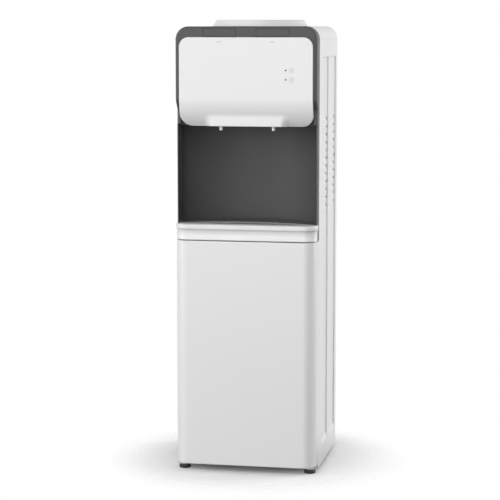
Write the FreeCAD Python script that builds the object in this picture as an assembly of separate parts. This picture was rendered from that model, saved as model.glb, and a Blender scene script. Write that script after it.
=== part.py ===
import FreeCAD, Part
import math
import os

# Water dispenser with a bottle collar on top, a dispensing recess and a storage cabinet.
# Frame: +Z up, +X to the right of a person who faces the front, -Y towards that person.
# The origin is on the floor, under the middle of the bounding box. Sizes are in millimetres.

os.makedirs("parts", exist_ok=True)
V = FreeCAD.Vector
UP = V(0, 0, 1)
RIGHT = V(1, 0, 0)
BACK = V(0, 1, 0)

# ---------------------------------------------------------------- driving sizes: overall
body_width = 310.0          # over the side panels
side_depth = 258.0          # side panels, front edge to back edge
front_depth = 50.0          # door and ledge, in front of the side panels
lip_proud = 2.0             # the ledge's lip, past the door's outline
side_clear = 5.0            # floor to the side panels
door_clear = 15.0           # floor to the door
door_height = 494.0
seam = 2.0                  # door to ledge, and door to side panels
ledge_height = 34.0
recess_height = 211.0       # ledge to the control panel's lower edge
panel_height = 191.0
band_height = 23.0          # dark band above the control panel
cover_height = 29.0         # white top cover
collar_rise = 14.0          # bottle collar above the cover

# ---------------------------------------------------------------- driving sizes: walls and gaps
side_wall = 2.5
cover_wall = 2.5
hood_wall = 2.5
shell_wall = 3.0
floor_wall = 8.0
door_wall = 2.5
liner_wall = 2.0
sheet = 1.2                 # steel sheet
base_wall = 2.5
fit_gap = 0.3               # moulding that drops into moulding
running_gap = 0.05          # pin in bore, radial
touch_gap = 0.1

# ---------------------------------------------------------------- driving sizes: side panels
channel_depth = 3.0
channel_clear = 17.8        # first channel, behind the front shell's corner
channel_end = 125.0         # first channel's rear edge, from the side panel's front edge
channel_rib = 22.0          # between the two channels
second_channel_width = 88.0
channel_low_margin = 42.0   # side panel's lower edge to the channels
channel_high_margin = 36.0  # channels to the top cover
channel_ramp = 14.0
vent_rows = 12
vent_pitch = 17.3
vent_drop = 141.0           # channels' upper end to the first louvre
vent_length = 54.0
vent_slot = 5.0
vent_rise = 8.5
vent_proud = 2.7
vent_blade = 1.2
front_flange = 12.0
rear_rail = 12.0            # flange inside each side panel that the back panel is screwed to

# ---------------------------------------------------------------- driving sizes: front
door_corner = 28.0
cover_corner = 28.0
lip_height = 10.0
cove_depth = 3.0
recess_depth = 156.0        # door front to the recess wall's deepest line
recess_radius = 180.0
cheek = 6.0
cheek_round = 5.0
cheek_depth = 20.0          # dark cheek, in front of the side panels
hood_depth = 33.0
panel_proud = 4.5
panel_margin = 9.0
panel_top_corner = 21.0
panel_low_corner = 26.0
roll_start = 60.0           # the panel is flat above this height over its lower edge
roll_radius = 85.0
shroud_half = 81.0
shroud_blend = 21.0
shroud_height = 23.0
shroud_back = 8.0
shroud_wall = 3.0
button_width = 71.0
button_spacing = 116.0
button_rail = 2.0
button_round = 5.0
button_thick = 6.0
button_gap = 0.4

# ---------------------------------------------------------------- driving sizes: taps and levers
tap_spacing = 115.0
tap_setback = 21.5          # nozzles, behind the control panel's face
tap_radius = 7.0
tap_height = 38.0
tap_seat = 2.0              # under the tap body
tap_cap = 4.0
inlet_rise = 34.0           # above the control panel's lower edge
inlet_length = 20.0
nozzle_radius = 6.0
nozzle_bore = 3.5
nozzle_drop = 9.0
lever_thick = 3.0
lever_width = 10.0
lever_pin_radius = 2.0
ear_wall = 3.0
spring_room = 5.0           # beside a lever, for its torsion spring
spring_wire = 0.4
lever_pin_rise = 114.0      # above the control panel's lower edge
lens_radius = 1.8
lens_inset = 13.0           # in from the indicator board's edge
board_clear = 4.1           # from the tap's ear to the board
board_margin = 18.4         # from the board to the control panel's side
lens_low = 101.0
lens_pitch = 20.0
lens_proud = 0.3
board_wall = 1.6

# ---------------------------------------------------------------- driving sizes: tray
plate_front = 11.0          # lip front to grille
plate_side = 9.0
plate_depth = 58.0
plate_sag = 37.0
plate_corner = 17.0
plate_thick = 3.0
tray_rim = 1.5
tray_ledge = 9.0
tray_depth = 25.0
tray_wall = 2.0
basin_flat = 62.0           # half of the basin's straight rear wall
basin_bend = 112.0          # middle line to the bend in its slanted walls
tray_gap = 0.6
ledge_floor = 3.0
slot_pitch = 6.0
slot_width = 2.6
slot_margin = 9.0

# ---------------------------------------------------------------- driving sizes: bottle seat and tanks
collar_base_radius = 106.0
collar_top_radius = 98.0
seat_radius = 92.0
seat_length = 20.0
seat_wall = 3.0
collar_setback = 134.0      # bottle's axis, behind the side panels' front edges
funnel_floor = 48.0         # below the cover's top
funnel_floor_radius = 40.0
funnel_wall = 2.5
spigot_radius = 14.0
probe_radius = 11.0
probe_bore = 6.0
probe_height = 30.0
tank_radius = 70.0
tank_height = 115.0
tank_wall = 1.2
jacket_wall = 10.0
jacket_floor = 15.0
lid_height = 10.0
coil_tube = 2.0
coil_pitch = 12.0
coil_turns = 5
coil_rise = 22.0
hot_height = 140.0
hot_front_gap = 11.0        # recess wall to the hot tank's jacket
hot_rear_gap = 7.0          # hot tank's jacket to the back panel
hot_gap = 3.0
felt_wall = 6.0
band_wall = 2.0
band_width = 40.0
band_rise = 40.0            # heater band, above the hot tank's bottom
hot_drop = 45.0             # recess ceiling to the hot tank's top
hot_rise_step = 25.0        # hot hose's bend, above the tank
bracket_half = 60.0
bracket_reach = 12.0        # in front of the hot tank
bracket_flange = 30.0
thermostat_radius = 8.0
thermostat_height = 5.0
coil_room = 5.0             # between the cold tank and its jacket
shelf_front = 45.0          # tank shelf, behind the side panels' front edges

# ---------------------------------------------------------------- driving sizes: machine space
rear_recess = 25.0          # back panel, in from the side panels' back edges
machine_height = 175.0      # cabinet step over the compressor
machine_depth = 90.0
pipe_space = 16.0           # cabinet liner to the back panel
back_rise = 7.5             # cabinet step to the back panel's lower edge
screw_count = 5             # on each side of the back panel
screw_pitch = 165.0
screw_radius = 1.65
compressor_radius = 48.0
compressor_height = 122.0
grommet_height = 11.5
grommet_radius = 8.0
condenser_tube_radius = 2.5
condenser_pitch = 24.0
condenser_runs = 25
condenser_side = 42.0       # condenser's bends, in from the housing's side
condenser_drop = 100.0      # top of the housing to the condenser
condenser_inset = 12.0      # condenser's plane, in front of the side panels' back edges
wire_radius = 0.8
wire_pitch = 12.0
capillary_x = -20.0
pipe_bend = 10.0
pipe_radius = 4.0
capillary_radius = 1.2
hose_radius = 5.0
feed_inset = 12.0           # feed hose, forward of the hot tank's middle
hose_bore = 3.5
hose_bend = 12.0
drier_radius = 9.0
drier_length = 50.0
drier_drop = 38.0           # lowest run of the condenser to the drier
machine_inset = 38.0        # compressor's axis, in front of the back panel
frame_half_x = 70.0
frame_half_y = 45.0
frame_wall = 2.0
power_width = 50.0
power_depth = 60.0
power_height = 90.0
power_rise = 46.5           # above the base plate
power_wall = 2.0
foot_radius = 12.5
foot_inset = 15.0
front_foot_reach = 19.0     # front feet, in front of the side panels
rear_foot_inset = 20.0
foot_pad = 7.0
foot_edge = 1.2
foot_stem_radius = 4.0
boss_drop = 2.5
base_wall_height = 26.0
pocket_rise = 320.0         # door's lower edge to the finger pocket
pocket_height = 90.0
pocket_depth = 9.0
pocket_back = 14.0
hinge_inset = 8.0
hinge_setback = 22.0        # hinge axis, in front of the door's back face
hinge_radius = 3.0
hinge_depth = 12.0
gasket_wall = 1.7
gasket_width = 6.0
gasket_inset = 4.0
catch_half = 20.0
catch_inset = 40.0          # magnet catch, in from the liner's side
catch_depth = 18.0
catch_height = 16.0
strike_thick = 1.0
outlet_inset = 50.0         # drain and cord gland, in from the housing's sides
outlet_rise = 19.0          # above the back panel's lower edge
spout_radius = 9.0
spout_rise = 17.0
spout_inset = 4.5           # spout's end, in front of the side panels' back edges
cap_radius = 12.0
cap_length = 13.0
gland_radius = 9.0
gland_bore = 4.0
gland_length = 14.0
gland_room = 20.0           # from the gland to the suction pipe beside it
rocker_tilt = 8.0           # degrees
rocker_half = 8.2
rocker_high = 8.0
cavity_half = 8.6
cavity_high = 9.0
bezel_wall = 2.4
switch_pitch = 24.0
switch_drop = 56.0          # below the housing's top
screw_head = 3.5            # radius

# ---------------------------------------------------------------- places worked out from them
half = body_width / 2
rear = (side_depth + front_depth + lip_proud) / 2
side_front = rear - side_depth
door_front = side_front - front_depth
door_back = side_front - seam
lip_front = door_front - lip_proud
door_top = door_clear + door_height
ledge_bottom = door_top + seam
ledge_top = ledge_bottom + ledge_height
panel_bottom = ledge_top + recess_height
panel_top = panel_bottom + panel_height
housing_top = panel_top + band_height
cover_bottom = housing_top - cover_height
collar_top = housing_top + collar_rise
cheek_front = side_front - cheek_depth
hood_front = side_front - hood_depth
panel_front = hood_front - panel_proud
panel_half = half - panel_margin
roll_z = panel_bottom + roll_start
roll_y = panel_front + roll_radius
inner_half = half - side_wall
bump_half = inner_half - channel_depth
back_y = rear - rear_recess
collar_y = side_front + collar_setback
channel_bottom = side_clear + channel_low_margin
channel_top = cover_bottom - channel_high_margin
vent_top = channel_top - vent_drop
pipe_y = back_y - pipe_radius - 1.5   # pipes that rise inside the back panel
recess_back = door_front + recess_depth
recess_centre = recess_back - recess_radius
hot_outer = (back_y - hot_rear_gap - recess_back - shell_wall - hot_front_gap) / 2
hot_radius = hot_outer - felt_wall - hot_gap
hot_y = back_y - hot_rear_gap - hot_outer
ceiling_bottom = panel_bottom + 2.0
hood_bottom = ceiling_bottom + shell_wall
shelf_top = hood_bottom + 2.0
base_floor = 11.0
base_top = base_floor + base_wall
step_z = base_top + machine_height
back_low = step_z + back_rise
screw_x = bump_half - rear_rail / 2
screw_rows = [back_low + 34.0 + screw_pitch * k for k in range(screw_count)]
tap_x = tap_spacing / 2
tap_y = panel_front + tap_setback
tap_low = panel_bottom + shroud_wall + tap_seat
inlet_z = panel_bottom + inlet_rise


# ---------------------------------------------------------------- shape helpers
def at(plane, offset, point):
    """Point of a flat drawing, in space: plane xy, xz or yz at an offset along its normal."""
    u, v = point
    if plane == "xy":
        return V(u, v, offset)
    if plane == "xz":
        return V(u, offset, v)
    return V(offset, u, v)


def face(plane, offset, start, *steps):
    """Closed flat face. A step of one point is a line, and of two points an arc through the first."""
    edges = []
    here = at(plane, offset, start)
    for step in steps:
        there = at(plane, offset, step[-1])
        if len(step) == 2:
            edges.append(Part.Arc(here, at(plane, offset, step[0]), there).toShape())
        elif here.distanceToPoint(there) > 1e-6:
            edges.append(Part.LineSegment(here, there).toShape())
        here = there
    first = at(plane, offset, start)
    if here.distanceToPoint(first) > 1e-6:
        edges.append(Part.LineSegment(here, first).toShape())
    return Part.Face(Part.Wire(edges))


def box(x0, x1, y0, y1, z0, z1):
    return Part.makeBox(x1 - x0, y1 - y0, z1 - z0, V(x0, y0, z0))


def rod(start, direction, radius, length):
    return Part.makeCylinder(radius, length, start, direction)


def tube(start, direction, radius, bore, length):
    return rod(start, direction, radius, length).cut(rod(start, direction, bore, length))


def corner(centre, radius, degrees):
    """Point of a circle, for the middle of a rounded corner."""
    angle = math.radians(degrees)
    return (centre[0] + radius * math.cos(angle), centre[1] + radius * math.sin(angle))


def rounded(plane, offset, u0, u1, v0, v1, low, high):
    """Rectangle whose two low corners and two high corners have their own radii."""
    steps = [((u1 - low, v0),)]
    if low > 0:
        steps.append((corner((u1 - low, v0 + low), low, -45), (u1, v0 + low)))
    steps.append(((u1, v1 - high),))
    if high > 0:
        steps.append((corner((u1 - high, v1 - high), high, 45), (u1 - high, v1)))
    steps.append(((u0 + high, v1),))
    if high > 0:
        steps.append((corner((u0 + high, v1 - high), high, 135), (u0, v1 - high)))
    steps.append(((u0, v0 + low),))
    if low > 0:
        steps.append((corner((u0 + low, v0 + low), low, 225), (u0 + low, v0)))
    return face(plane, offset, (u0 + low, v0), *steps)


def turned(profile, x, y):
    """Solid of revolution about an upright axis, from (radius, height) points."""
    wire = [V(r, 0, z) for r, z in profile]
    solid = Part.Face(Part.makePolygon(wire + wire[:1])).revolve(V(0, 0, 0), UP, 360)
    solid.translate(V(x, y, 0))
    return solid


def bent(points, radius, bend, bore=0.0):
    """Pipe along straight runs that tangent arcs join, hollow if it has a bore."""
    nodes = [V(*p) for p in points]
    edges = []
    here = nodes[0]
    for before, knee, after in zip(nodes, nodes[1:], nodes[2:]):
        one = (before - knee).normalize()
        two = (after - knee).normalize()
        half_angle = one.getAngle(two) / 2
        reach = bend / math.tan(half_angle)
        middle = (one + two).normalize()
        centre = knee + middle * (bend / math.sin(half_angle))
        start = knee + one * reach
        end = knee + two * reach
        if here.distanceToPoint(start) > 1e-6:
            edges.append(Part.LineSegment(here, start).toShape())
        edges.append(Part.Arc(start, centre - middle * bend, end).toShape())
        here = end
    edges.append(Part.LineSegment(here, nodes[-1]).toShape())
    path = Part.Wire(edges)
    run = (nodes[1] - nodes[0]).normalize()
    outer = path.makePipeShell([Part.Wire(Part.makeCircle(radius, nodes[0], run))], True, False)
    if bore == 0:
        return outer
    inner = path.makePipeShell([Part.Wire(Part.makeCircle(bore, nodes[0], run))], True, False)
    return outer.cut(inner)


def joined(solids):
    solids = list(solids)
    return solids[0].multiFuse(solids[1:]).removeSplitter()


def mirrored(shape):
    return shape.mirror(V(0, 0, 0), RIGHT)


def save(name, shape):
    shape.exportStep("parts/" + name + ".step")
    print(name, len(shape.Solids), "solid(s)", round(shape.Volume / 1000, 2), "cm3", shape.isValid())


# ---------------------------------------------------------------- side panels
shell_corner = recess_centre + math.sqrt((recess_radius + shell_wall) ** 2 - inner_half ** 2)
first_channel = (shell_corner + channel_clear, side_front + channel_end)
second_channel = (first_channel[1] + channel_rib, first_channel[1] + channel_rib + second_channel_width)


def vent(y_middle, z):
    """Louvre blade with closed ends over one slot, on the floor of a channel."""
    x = half - channel_depth
    y0 = y_middle - vent_length / 2
    tip = x + vent_proud
    top = (x, z + vent_rise)
    nose = (tip, z + vent_blade)
    blade = face("xz", y0 - vent_blade, top, (nose,), ((tip, z),), ((tip - vent_blade, z),),
                 ((tip - vent_blade, z + vent_blade),), ((x, z + vent_rise - 2 * vent_blade),))
    end = face("xz", y0 - vent_blade, top, (nose,), ((tip, z),), ((x, z),))
    far_end = end.copy()
    far_end.translate(BACK * (vent_length + vent_blade))
    return [blade.extrude(BACK * (vent_length + 2 * vent_blade)), end.extrude(BACK * vent_blade),
            far_end.extrude(BACK * vent_blade)]


def side_panel():
    flange_x = half - front_flange
    skin = box(inner_half, half, side_front, rear, side_clear, cover_bottom)
    flange = box(flange_x, half, side_front, side_front + side_wall, base_top + fit_gap, ledge_bottom)
    back_flange = box(flange_x, half, rear - side_wall, rear, side_clear, cover_bottom)
    rail = box(bump_half - rear_rail, half, back_y - side_wall, back_y, back_low, cover_bottom)
    add = [skin, flange, back_flange, rail]
    cuts = [rod(V(screw_x, back_y - side_wall - 1, z), BACK, screw_radius + touch_gap, 2 * side_wall)
            for z in screw_rows]
    blades = []
    for y0, y1 in (first_channel, second_channel):
        add.append(box(bump_half, half, y0 - side_wall, y1 + side_wall,
                       channel_bottom - side_wall, channel_top + side_wall))
        floor = half - channel_depth
        ramp = face("xz", y0, (half, channel_bottom), ((floor, channel_bottom + channel_ramp),),
                    ((floor, channel_top - channel_depth),), ((half, channel_top),))
        cuts.append(ramp.extrude(BACK * (y1 - y0)))
        middle = (y0 + y1) / 2
        for row in range(vent_rows):
            z = vent_top - row * vent_pitch
            cuts.append(box(bump_half - 1, floor + touch_gap, middle - vent_length / 2,
                            middle + vent_length / 2, z - vent_slot + vent_blade, z + vent_blade))
            blades.extend(vent(middle, z))
    body = joined(add).cut(Part.makeCompound(cuts))
    return joined([body] + blades)


right_side = side_panel()
save("side_panel_right", right_side)
save("side_panel_left", mirrored(right_side))

# ---------------------------------------------------------------- base plate and feet
foot_x = half - foot_inset
feet = [(sx * foot_x, y) for y in (side_front - front_foot_reach, rear - rear_foot_inset) for sx in (-1, 1)]
hinge_x = half - hinge_inset
hinge_y = door_back - hinge_setback


def base_plate():
    front = side_front + side_wall + fit_gap
    back = rear - side_wall - fit_gap
    side = inner_half - touch_gap
    floor = box(-side, side, front, back, base_floor, base_top)
    wall = box(side - sheet, side, front, back, base_top, base_top + base_wall_height)
    tongue = box(foot_x - foot_radius, side, hinge_y - 8, front, base_floor, base_top)
    bosses = [rod(V(x, y, base_floor - boss_drop), UP, foot_radius - 2, boss_drop) for x, y in feet]
    body = joined([floor, wall, mirrored(wall), tongue, mirrored(tongue)] + bosses)
    holes = [rod(V(x, y, 0), UP, foot_stem_radius + running_gap, 40) for x, y in feet]
    holes.append(rod(V(hinge_x, hinge_y, 0), UP, hinge_radius, 40))
    return body.cut(Part.makeCompound(holes))


def foot(x, y):
    stem_top = base_top - touch_gap
    return turned([(0, 0), (foot_radius - foot_edge, 0), (foot_radius, foot_edge), (foot_radius, foot_pad),
                   (foot_stem_radius, foot_pad), (foot_stem_radius, stem_top), (0, stem_top)], x, y)


save("base_plate", base_plate())
for (x, y), name in zip(feet, ("front_left", "front_right", "rear_left", "rear_right")):
    save("foot_" + name, foot(x, y))

# ---------------------------------------------------------------- cabinet liner
liner_half = half - front_flange
liner_bottom = base_top
liner_top = door_top - 4.0
low_back = back_y - machine_depth
high_back = back_y - pipe_space


def liner_block(inset):
    """Stepped block of the cabinet's space: shallow below, over the machine space deep."""
    y0 = side_front - 1 if inset else side_front
    z0 = liner_bottom + inset
    outline = face("yz", -liner_half + inset, (y0, z0), ((low_back - inset, z0),),
                   ((low_back - inset, step_z + inset),), ((high_back - inset, step_z + inset),),
                   ((high_back - inset, liner_top - inset),), ((y0, liner_top - inset),))
    return outline.extrude(RIGHT * 2 * (liner_half - inset))


def cabinet_liner():
    header = box(-liner_half, liner_half, side_front, side_front + liner_wall, liner_top, ledge_bottom)
    return liner_block(0).cut(liner_block(liner_wall)).fuse(header).removeSplitter()


save("cabinet_liner", cabinet_liner())
catch_x = -liner_half + catch_inset
catch_front = side_front - 0.7
catch_top = door_top - gasket_inset - gasket_width - 1.0


def magnet_catch():
    """Magnet block behind the gasket's line, hung from the liner's ceiling by its rear half."""
    block = box(catch_x - catch_half, catch_x + catch_half, catch_front, catch_front + catch_depth,
                catch_top - catch_height, catch_top)
    stalk = box(catch_x - catch_half, catch_x + catch_half, catch_front + catch_depth / 2,
                catch_front + catch_depth, catch_top, liner_top - liner_wall)
    return block.fuse(stalk).removeSplitter()


save("magnet_catch", magnet_catch())

# ---------------------------------------------------------------- door


def front_outline(grow, z):
    """Plan of the door and of the ledge: square at the back, rounded at the two front corners."""
    return rounded("xy", z, -half - grow, half + grow, door_front - grow, side_front, door_corner + grow, 0)


def behind(y, z0, z1):
    """Everything behind a plane that faces the front, over the whole width."""
    return box(-half - 20, half + 20, y, rear + 20, z0, z1)


def door_parts():
    """Door shell with its edge moulding, in three lengths round the finger pocket, and the flat liner."""
    outline = front_outline(0, door_clear).extrude(UP * door_height)
    outline = outline.cut(behind(door_back, door_clear - 1, door_top + 1))
    low = door_clear + door_wall
    high = door_top - door_wall
    hollow = front_outline(-door_wall, low).extrude(UP * (high - low))
    hollow = hollow.fuse(box(-half + door_wall, half - door_wall, door_back - 10, door_back + 1, low, high))
    edge_x = -half + pocket_depth + door_wall

    def edging(bottom, top):
        return box(-half, edge_x, door_back - pocket_back - door_wall, door_back, bottom, top)
    posts = [rod(V(hinge_x, hinge_y, z), UP, hinge_radius + 3, hinge_depth + 2).common(outline)
             for z in (door_clear, door_top - hinge_depth - 2)]
    bores = [rod(V(hinge_x, hinge_y, z), UP, hinge_radius + running_gap, hinge_depth)
             for z in (door_clear, door_top - hinge_depth)]
    shell = joined([outline.cut(hollow)] + posts).cut(Part.makeCompound([edging(low, high)] + bores))
    z0 = door_clear + pocket_rise
    z1 = z0 + pocket_height
    scoop = box(-half - 1, -half + pocket_depth, door_back - pocket_back, door_back + 1, z0, z1)
    pull = edging(z0 - door_wall, z1 + door_wall).cut(scoop)
    lengths = [edging(low, z0 - door_wall), pull, edging(z1 + door_wall, high)]
    liner = box(edge_x, half - door_wall, door_back - liner_wall, door_back, low, high)
    return Part.makeCompound([shell] + lengths), liner


def gasket():
    outer = half - hinge_inset
    low = door_clear + gasket_inset
    high = door_top - gasket_inset
    ring = box(-outer, outer, door_back, door_back + gasket_wall, low, high)
    return ring.cut(box(-outer + gasket_width, outer - gasket_width, door_back - 1, side_front,
                        low + gasket_width, high - gasket_width))


door_shell, door_liner = door_parts()
save("door_shell", door_shell)
save("door_liner", door_liner)
save("door_gasket", gasket())
save("strike_plate", box(catch_x - catch_half + 4, catch_x + catch_half - 4,
                         door_back, door_back + strike_thick,
                         catch_top - catch_height + 2, catch_top - 2))
save("hinge_pin_lower", rod(V(hinge_x, hinge_y, base_floor), UP, hinge_radius,
                            door_clear - base_floor + hinge_depth - 1))


def hinge_top():
    plate = box(hinge_x - 16, hinge_x + 6, hinge_y - 6, cheek_front + 12, ledge_bottom - sheet, ledge_bottom)
    pin = rod(V(hinge_x, hinge_y, door_top - hinge_depth + 1), UP, hinge_radius, hinge_depth + seam - 1)
    return plate.fuse(pin).removeSplitter()


save("hinge_bracket_upper", hinge_top())

# ---------------------------------------------------------------- drip tray, grille and the pocket for them
plate_half = half - plate_side + lip_proud
plate_y0 = lip_front + plate_front
plate_y1 = plate_y0 + plate_depth
seat_z = ledge_top - plate_thick - tray_rim + 1.0


def plate_arc(x, inset):
    """Where the grille's rear arc lies at x, moved in by an inset."""
    radius = (plate_half ** 2 + plate_sag ** 2) / (2 * plate_sag)
    return plate_y1 - radius + math.sqrt((radius - inset) ** 2 - x ** 2)


def tray_outline(inset, z):
    """Plan of the grille: straight front with rounded corners, and an arc at the back."""
    h = plate_half - inset
    y0 = plate_y0 + inset
    ys = plate_arc(h, inset)
    r = min(plate_corner - inset, ys - y0 - 1.0)
    return face("xy", z, (-h + r, y0), ((h - r, y0),), (corner((h - r, y0 + r), r, -45), (h, y0 + r)),
                ((h, ys),), ((0, plate_y1 - inset), (-h, ys)), ((-h, y0 + r),),
                (corner((-h + r, y0 + r), r, 225), (-h + r, y0)))


def basin_outline(inset, z):
    """Plan of the tray's basin: as the grille's, with straight walls along the arc."""
    h = plate_half - inset
    y0 = plate_y0 + inset
    ys = plate_arc(h, inset)
    r = min(plate_corner - inset, ys - y0 - 1.0)
    bends = [(x, plate_arc(x, inset)) for x in (basin_bend, basin_flat, -basin_flat, -basin_bend)]
    return face("xy", z, (-h + r, y0), ((h - r, y0),), (corner((h - r, y0 + r), r, -45), (h, y0 + r)),
                ((h, ys),), *[(bend,) for bend in bends], ((-h, ys),), ((-h, y0 + r),),
                (corner((-h + r, y0 + r), r, 225), (-h + r, y0)))


def tray_pocket():
    rim = tray_outline(-tray_gap, seat_z).extrude(UP * 40)
    well = tray_outline(tray_ledge - tray_gap, ledge_bottom + ledge_floor).extrude(UP * 60)
    return rim.fuse(well)


def drip_tray():
    """Pan under the grille, in five lengths that meet at the bends of its walls."""
    low = seat_z - tray_depth + tray_rim
    rim = tray_outline(0, seat_z).extrude(UP * tray_rim)
    basin = basin_outline(tray_ledge, low).extrude(UP * (seat_z + tray_rim - low))
    hollow = basin_outline(tray_ledge + tray_wall, low + tray_wall).extrude(UP * 60)
    tray = joined([rim, basin]).cut(hollow)
    ends = (-half, -basin_bend, -basin_flat, basin_flat, basin_bend, half)
    spans = [box(x0, x1, door_front, plate_y1 + 1, low - 1, ledge_top) for x0, x1 in zip(ends, ends[1:])]
    return Part.makeCompound([tray.common(span) for span in spans])


def drip_grille():
    plate = tray_outline(0, seat_z + tray_rim).extrude(UP * plate_thick)
    slots = []
    count = int((plate_half - slot_margin) / slot_pitch)
    for step in range(-count, count + 1):
        x = step * slot_pitch
        y0 = plate_y0 + slot_margin
        y1 = plate_arc(abs(x) + slot_width, slot_margin)
        if y1 - y0 > 2 * slot_width:
            slots.append(box(x - slot_width / 2, x + slot_width / 2, y0, y1, ledge_top - 20, ledge_top + 20))
    rings = []
    for x in (-tap_x, tap_x):
        rings.append(tube(V(x, tap_y, seat_z + tray_rim), UP, 19, 16.5, plate_thick))
    return joined([plate.cut(Part.makeCompound(slots))] + rings)


save("drip_tray", drip_tray())
save("drip_grille", drip_grille())

# ---------------------------------------------------------------- ledge with lip and cove


def cove_face(plane, offset, edge, inward):
    """Section of the cove: deep under the lip, and out to the edge at the bottom."""
    top = ledge_top - lip_height
    return face(plane, offset, (edge - inward * 5, ledge_bottom - 0.01), ((edge, ledge_bottom - 0.01),),
                ((edge + inward * cove_depth * 0.78, (ledge_bottom + top) / 2 - 2),
                 (edge + inward * cove_depth, top)), ((edge - inward * 5, top),))


def ledge():
    block = front_outline(0, ledge_bottom).extrude(UP * ledge_height)
    lip = front_outline(lip_proud, ledge_top - lip_height).extrude(UP * lip_height)
    body = block.fuse(lip).cut(behind(cheek_front, ledge_bottom - 1, ledge_top + 1))
    straight = cove_face("yz", -half + door_corner, door_front, 1).extrude(RIGHT * 2 * (half - door_corner))
    cuts = [straight]
    side = cove_face("xz", door_front + door_corner, half, -1).extrude(BACK * 60)
    pivot = V(half - door_corner, door_front + door_corner, 0)
    turn = cove_face("xz", door_front + door_corner, half, -1).revolve(pivot, UP, -90)
    for cut in (side, turn):
        cuts.append(cut)
        cuts.append(mirrored(cut))
    return body.cut(Part.makeCompound(cuts)).cut(tray_pocket())


save("ledge", ledge())

# ---------------------------------------------------------------- dark front shell with the recess


def roll_point(radius, z):
    """Depth of the rolled-back control panel at a height under the roll's start."""
    return roll_y - math.sqrt(radius ** 2 - (roll_z - z) ** 2)


def arc_y(x, radius):
    return recess_centre + math.sqrt(radius ** 2 - x ** 2)


def shell_back(z, front_y):
    """Plan of the shell's rear outline, closed by a straight front."""
    outer = recess_radius + shell_wall
    side = inner_half - touch_gap
    return face("xy", z, (side, front_y), ((side, arc_y(side, outer)),),
                ((0, recess_centre + outer), (-side, arc_y(side, outer))), ((-side, front_y),))


def recess_space(z, front_y):
    side = half - cheek
    return face("xy", z, (side, front_y), ((side, arc_y(side, recess_radius)),),
                ((0, recess_back), (-side, arc_y(side, recess_radius))), ((-side, front_y),))


def cheeks(z0, z1):
    plan = rounded("xy", z0, -half, half, cheek_front, side_front, cheek_round, 0)
    return plan.extrude(UP * (z1 - z0))


def front_shell():
    floor_z = ledge_top - floor_wall
    ceiling_front = roll_point(roll_radius - panel_proud, panel_bottom) + button_gap
    body = joined([cheeks(ledge_bottom, hood_bottom), shell_back(floor_z, side_front - 1).extrude(
        UP * (hood_bottom - floor_z))])
    space = recess_space(ledge_top, cheek_front - 1).extrude(UP * (ceiling_bottom - ledge_top))
    under = box(-half + shell_wall, half - shell_wall, cheek_front + shell_wall, side_front + 60,
                ledge_bottom - 1, floor_z)
    open_top = box(-half + cheek, half - cheek, cheek_front - 1, ceiling_front, ceiling_bottom - 1,
                   ceiling_bottom + shell_wall + 1)
    return body.cut(Part.makeCompound([space, under, open_top])).cut(tray_pocket())


save("front_shell", front_shell())

# ---------------------------------------------------------------- hood, control panel, buttons
button_x = button_spacing / 2
button_low = panel_top + button_rail
button_high = housing_top - button_round
stem_back = tap_y - lever_thick / 2 - fit_gap
ear_reach = lever_width / 2 + spring_room + ear_wall
board_gap = 3.0
board_low = panel_bottom + lens_low - 18.0
board_high = panel_bottom + lens_low + lens_pitch + 18.0
board_left = tap_x + ear_reach + board_clear
board_right = panel_half - board_margin
lens_x = board_left + lens_inset
board_posts = [(x, z) for x in (board_left + 5, board_right - 5) for z in (board_low + 5, board_high - 5)]


def ear_spans(x):
    """The two ears that hold a lever's pin: one close to the lever, one past its spring."""
    near = x - lever_width / 2 - fit_gap
    far = x + lever_width / 2 + spring_room
    return [(near - ear_wall, near), (far, far + ear_wall)]


def hood_block(inset):
    radius = roll_radius - panel_proud - touch_gap - inset
    y0 = roll_y - radius
    cheek_y = cheek_front + inset
    knee = roll_z - math.sqrt(radius ** 2 - (roll_y - cheek_y) ** 2)
    middle = (roll_z + knee) / 2
    back = side_front + (1 if inset else 0)
    low = hood_bottom - (1 if inset else 0)
    side = face("yz", -half + inset, (back, low), ((back, housing_top - inset),),
                ((y0, housing_top - inset),), ((y0, roll_z),),
                ((roll_point(radius, middle), middle), (cheek_y, knee)), ((cheek_y, low),))
    front = rounded("xz", hood_front - 1, -half + inset, half - inset, low - 1, housing_top - inset, 0,
                    cover_corner - inset)
    return side.extrude(RIGHT * 2 * (half - inset)).common(front.extrude(BACK * (hood_depth + 10)))


def roll_backing():
    """Dark wall that follows the rolled-back panel from behind, down to the recess."""
    outer = roll_radius - panel_proud - button_gap
    inner = outer - hood_wall
    middle = (roll_z + hood_bottom) / 2
    wall = face("yz", -panel_half - button_gap, (roll_y - outer, roll_z),
                ((roll_point(outer, middle), middle), (roll_point(outer, hood_bottom), hood_bottom)),
                ((roll_point(inner, hood_bottom), hood_bottom),),
                ((roll_point(inner, middle), middle), (roll_y - inner, roll_z)))
    return wall.extrude(RIGHT * 2 * (panel_half + button_gap))


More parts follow.
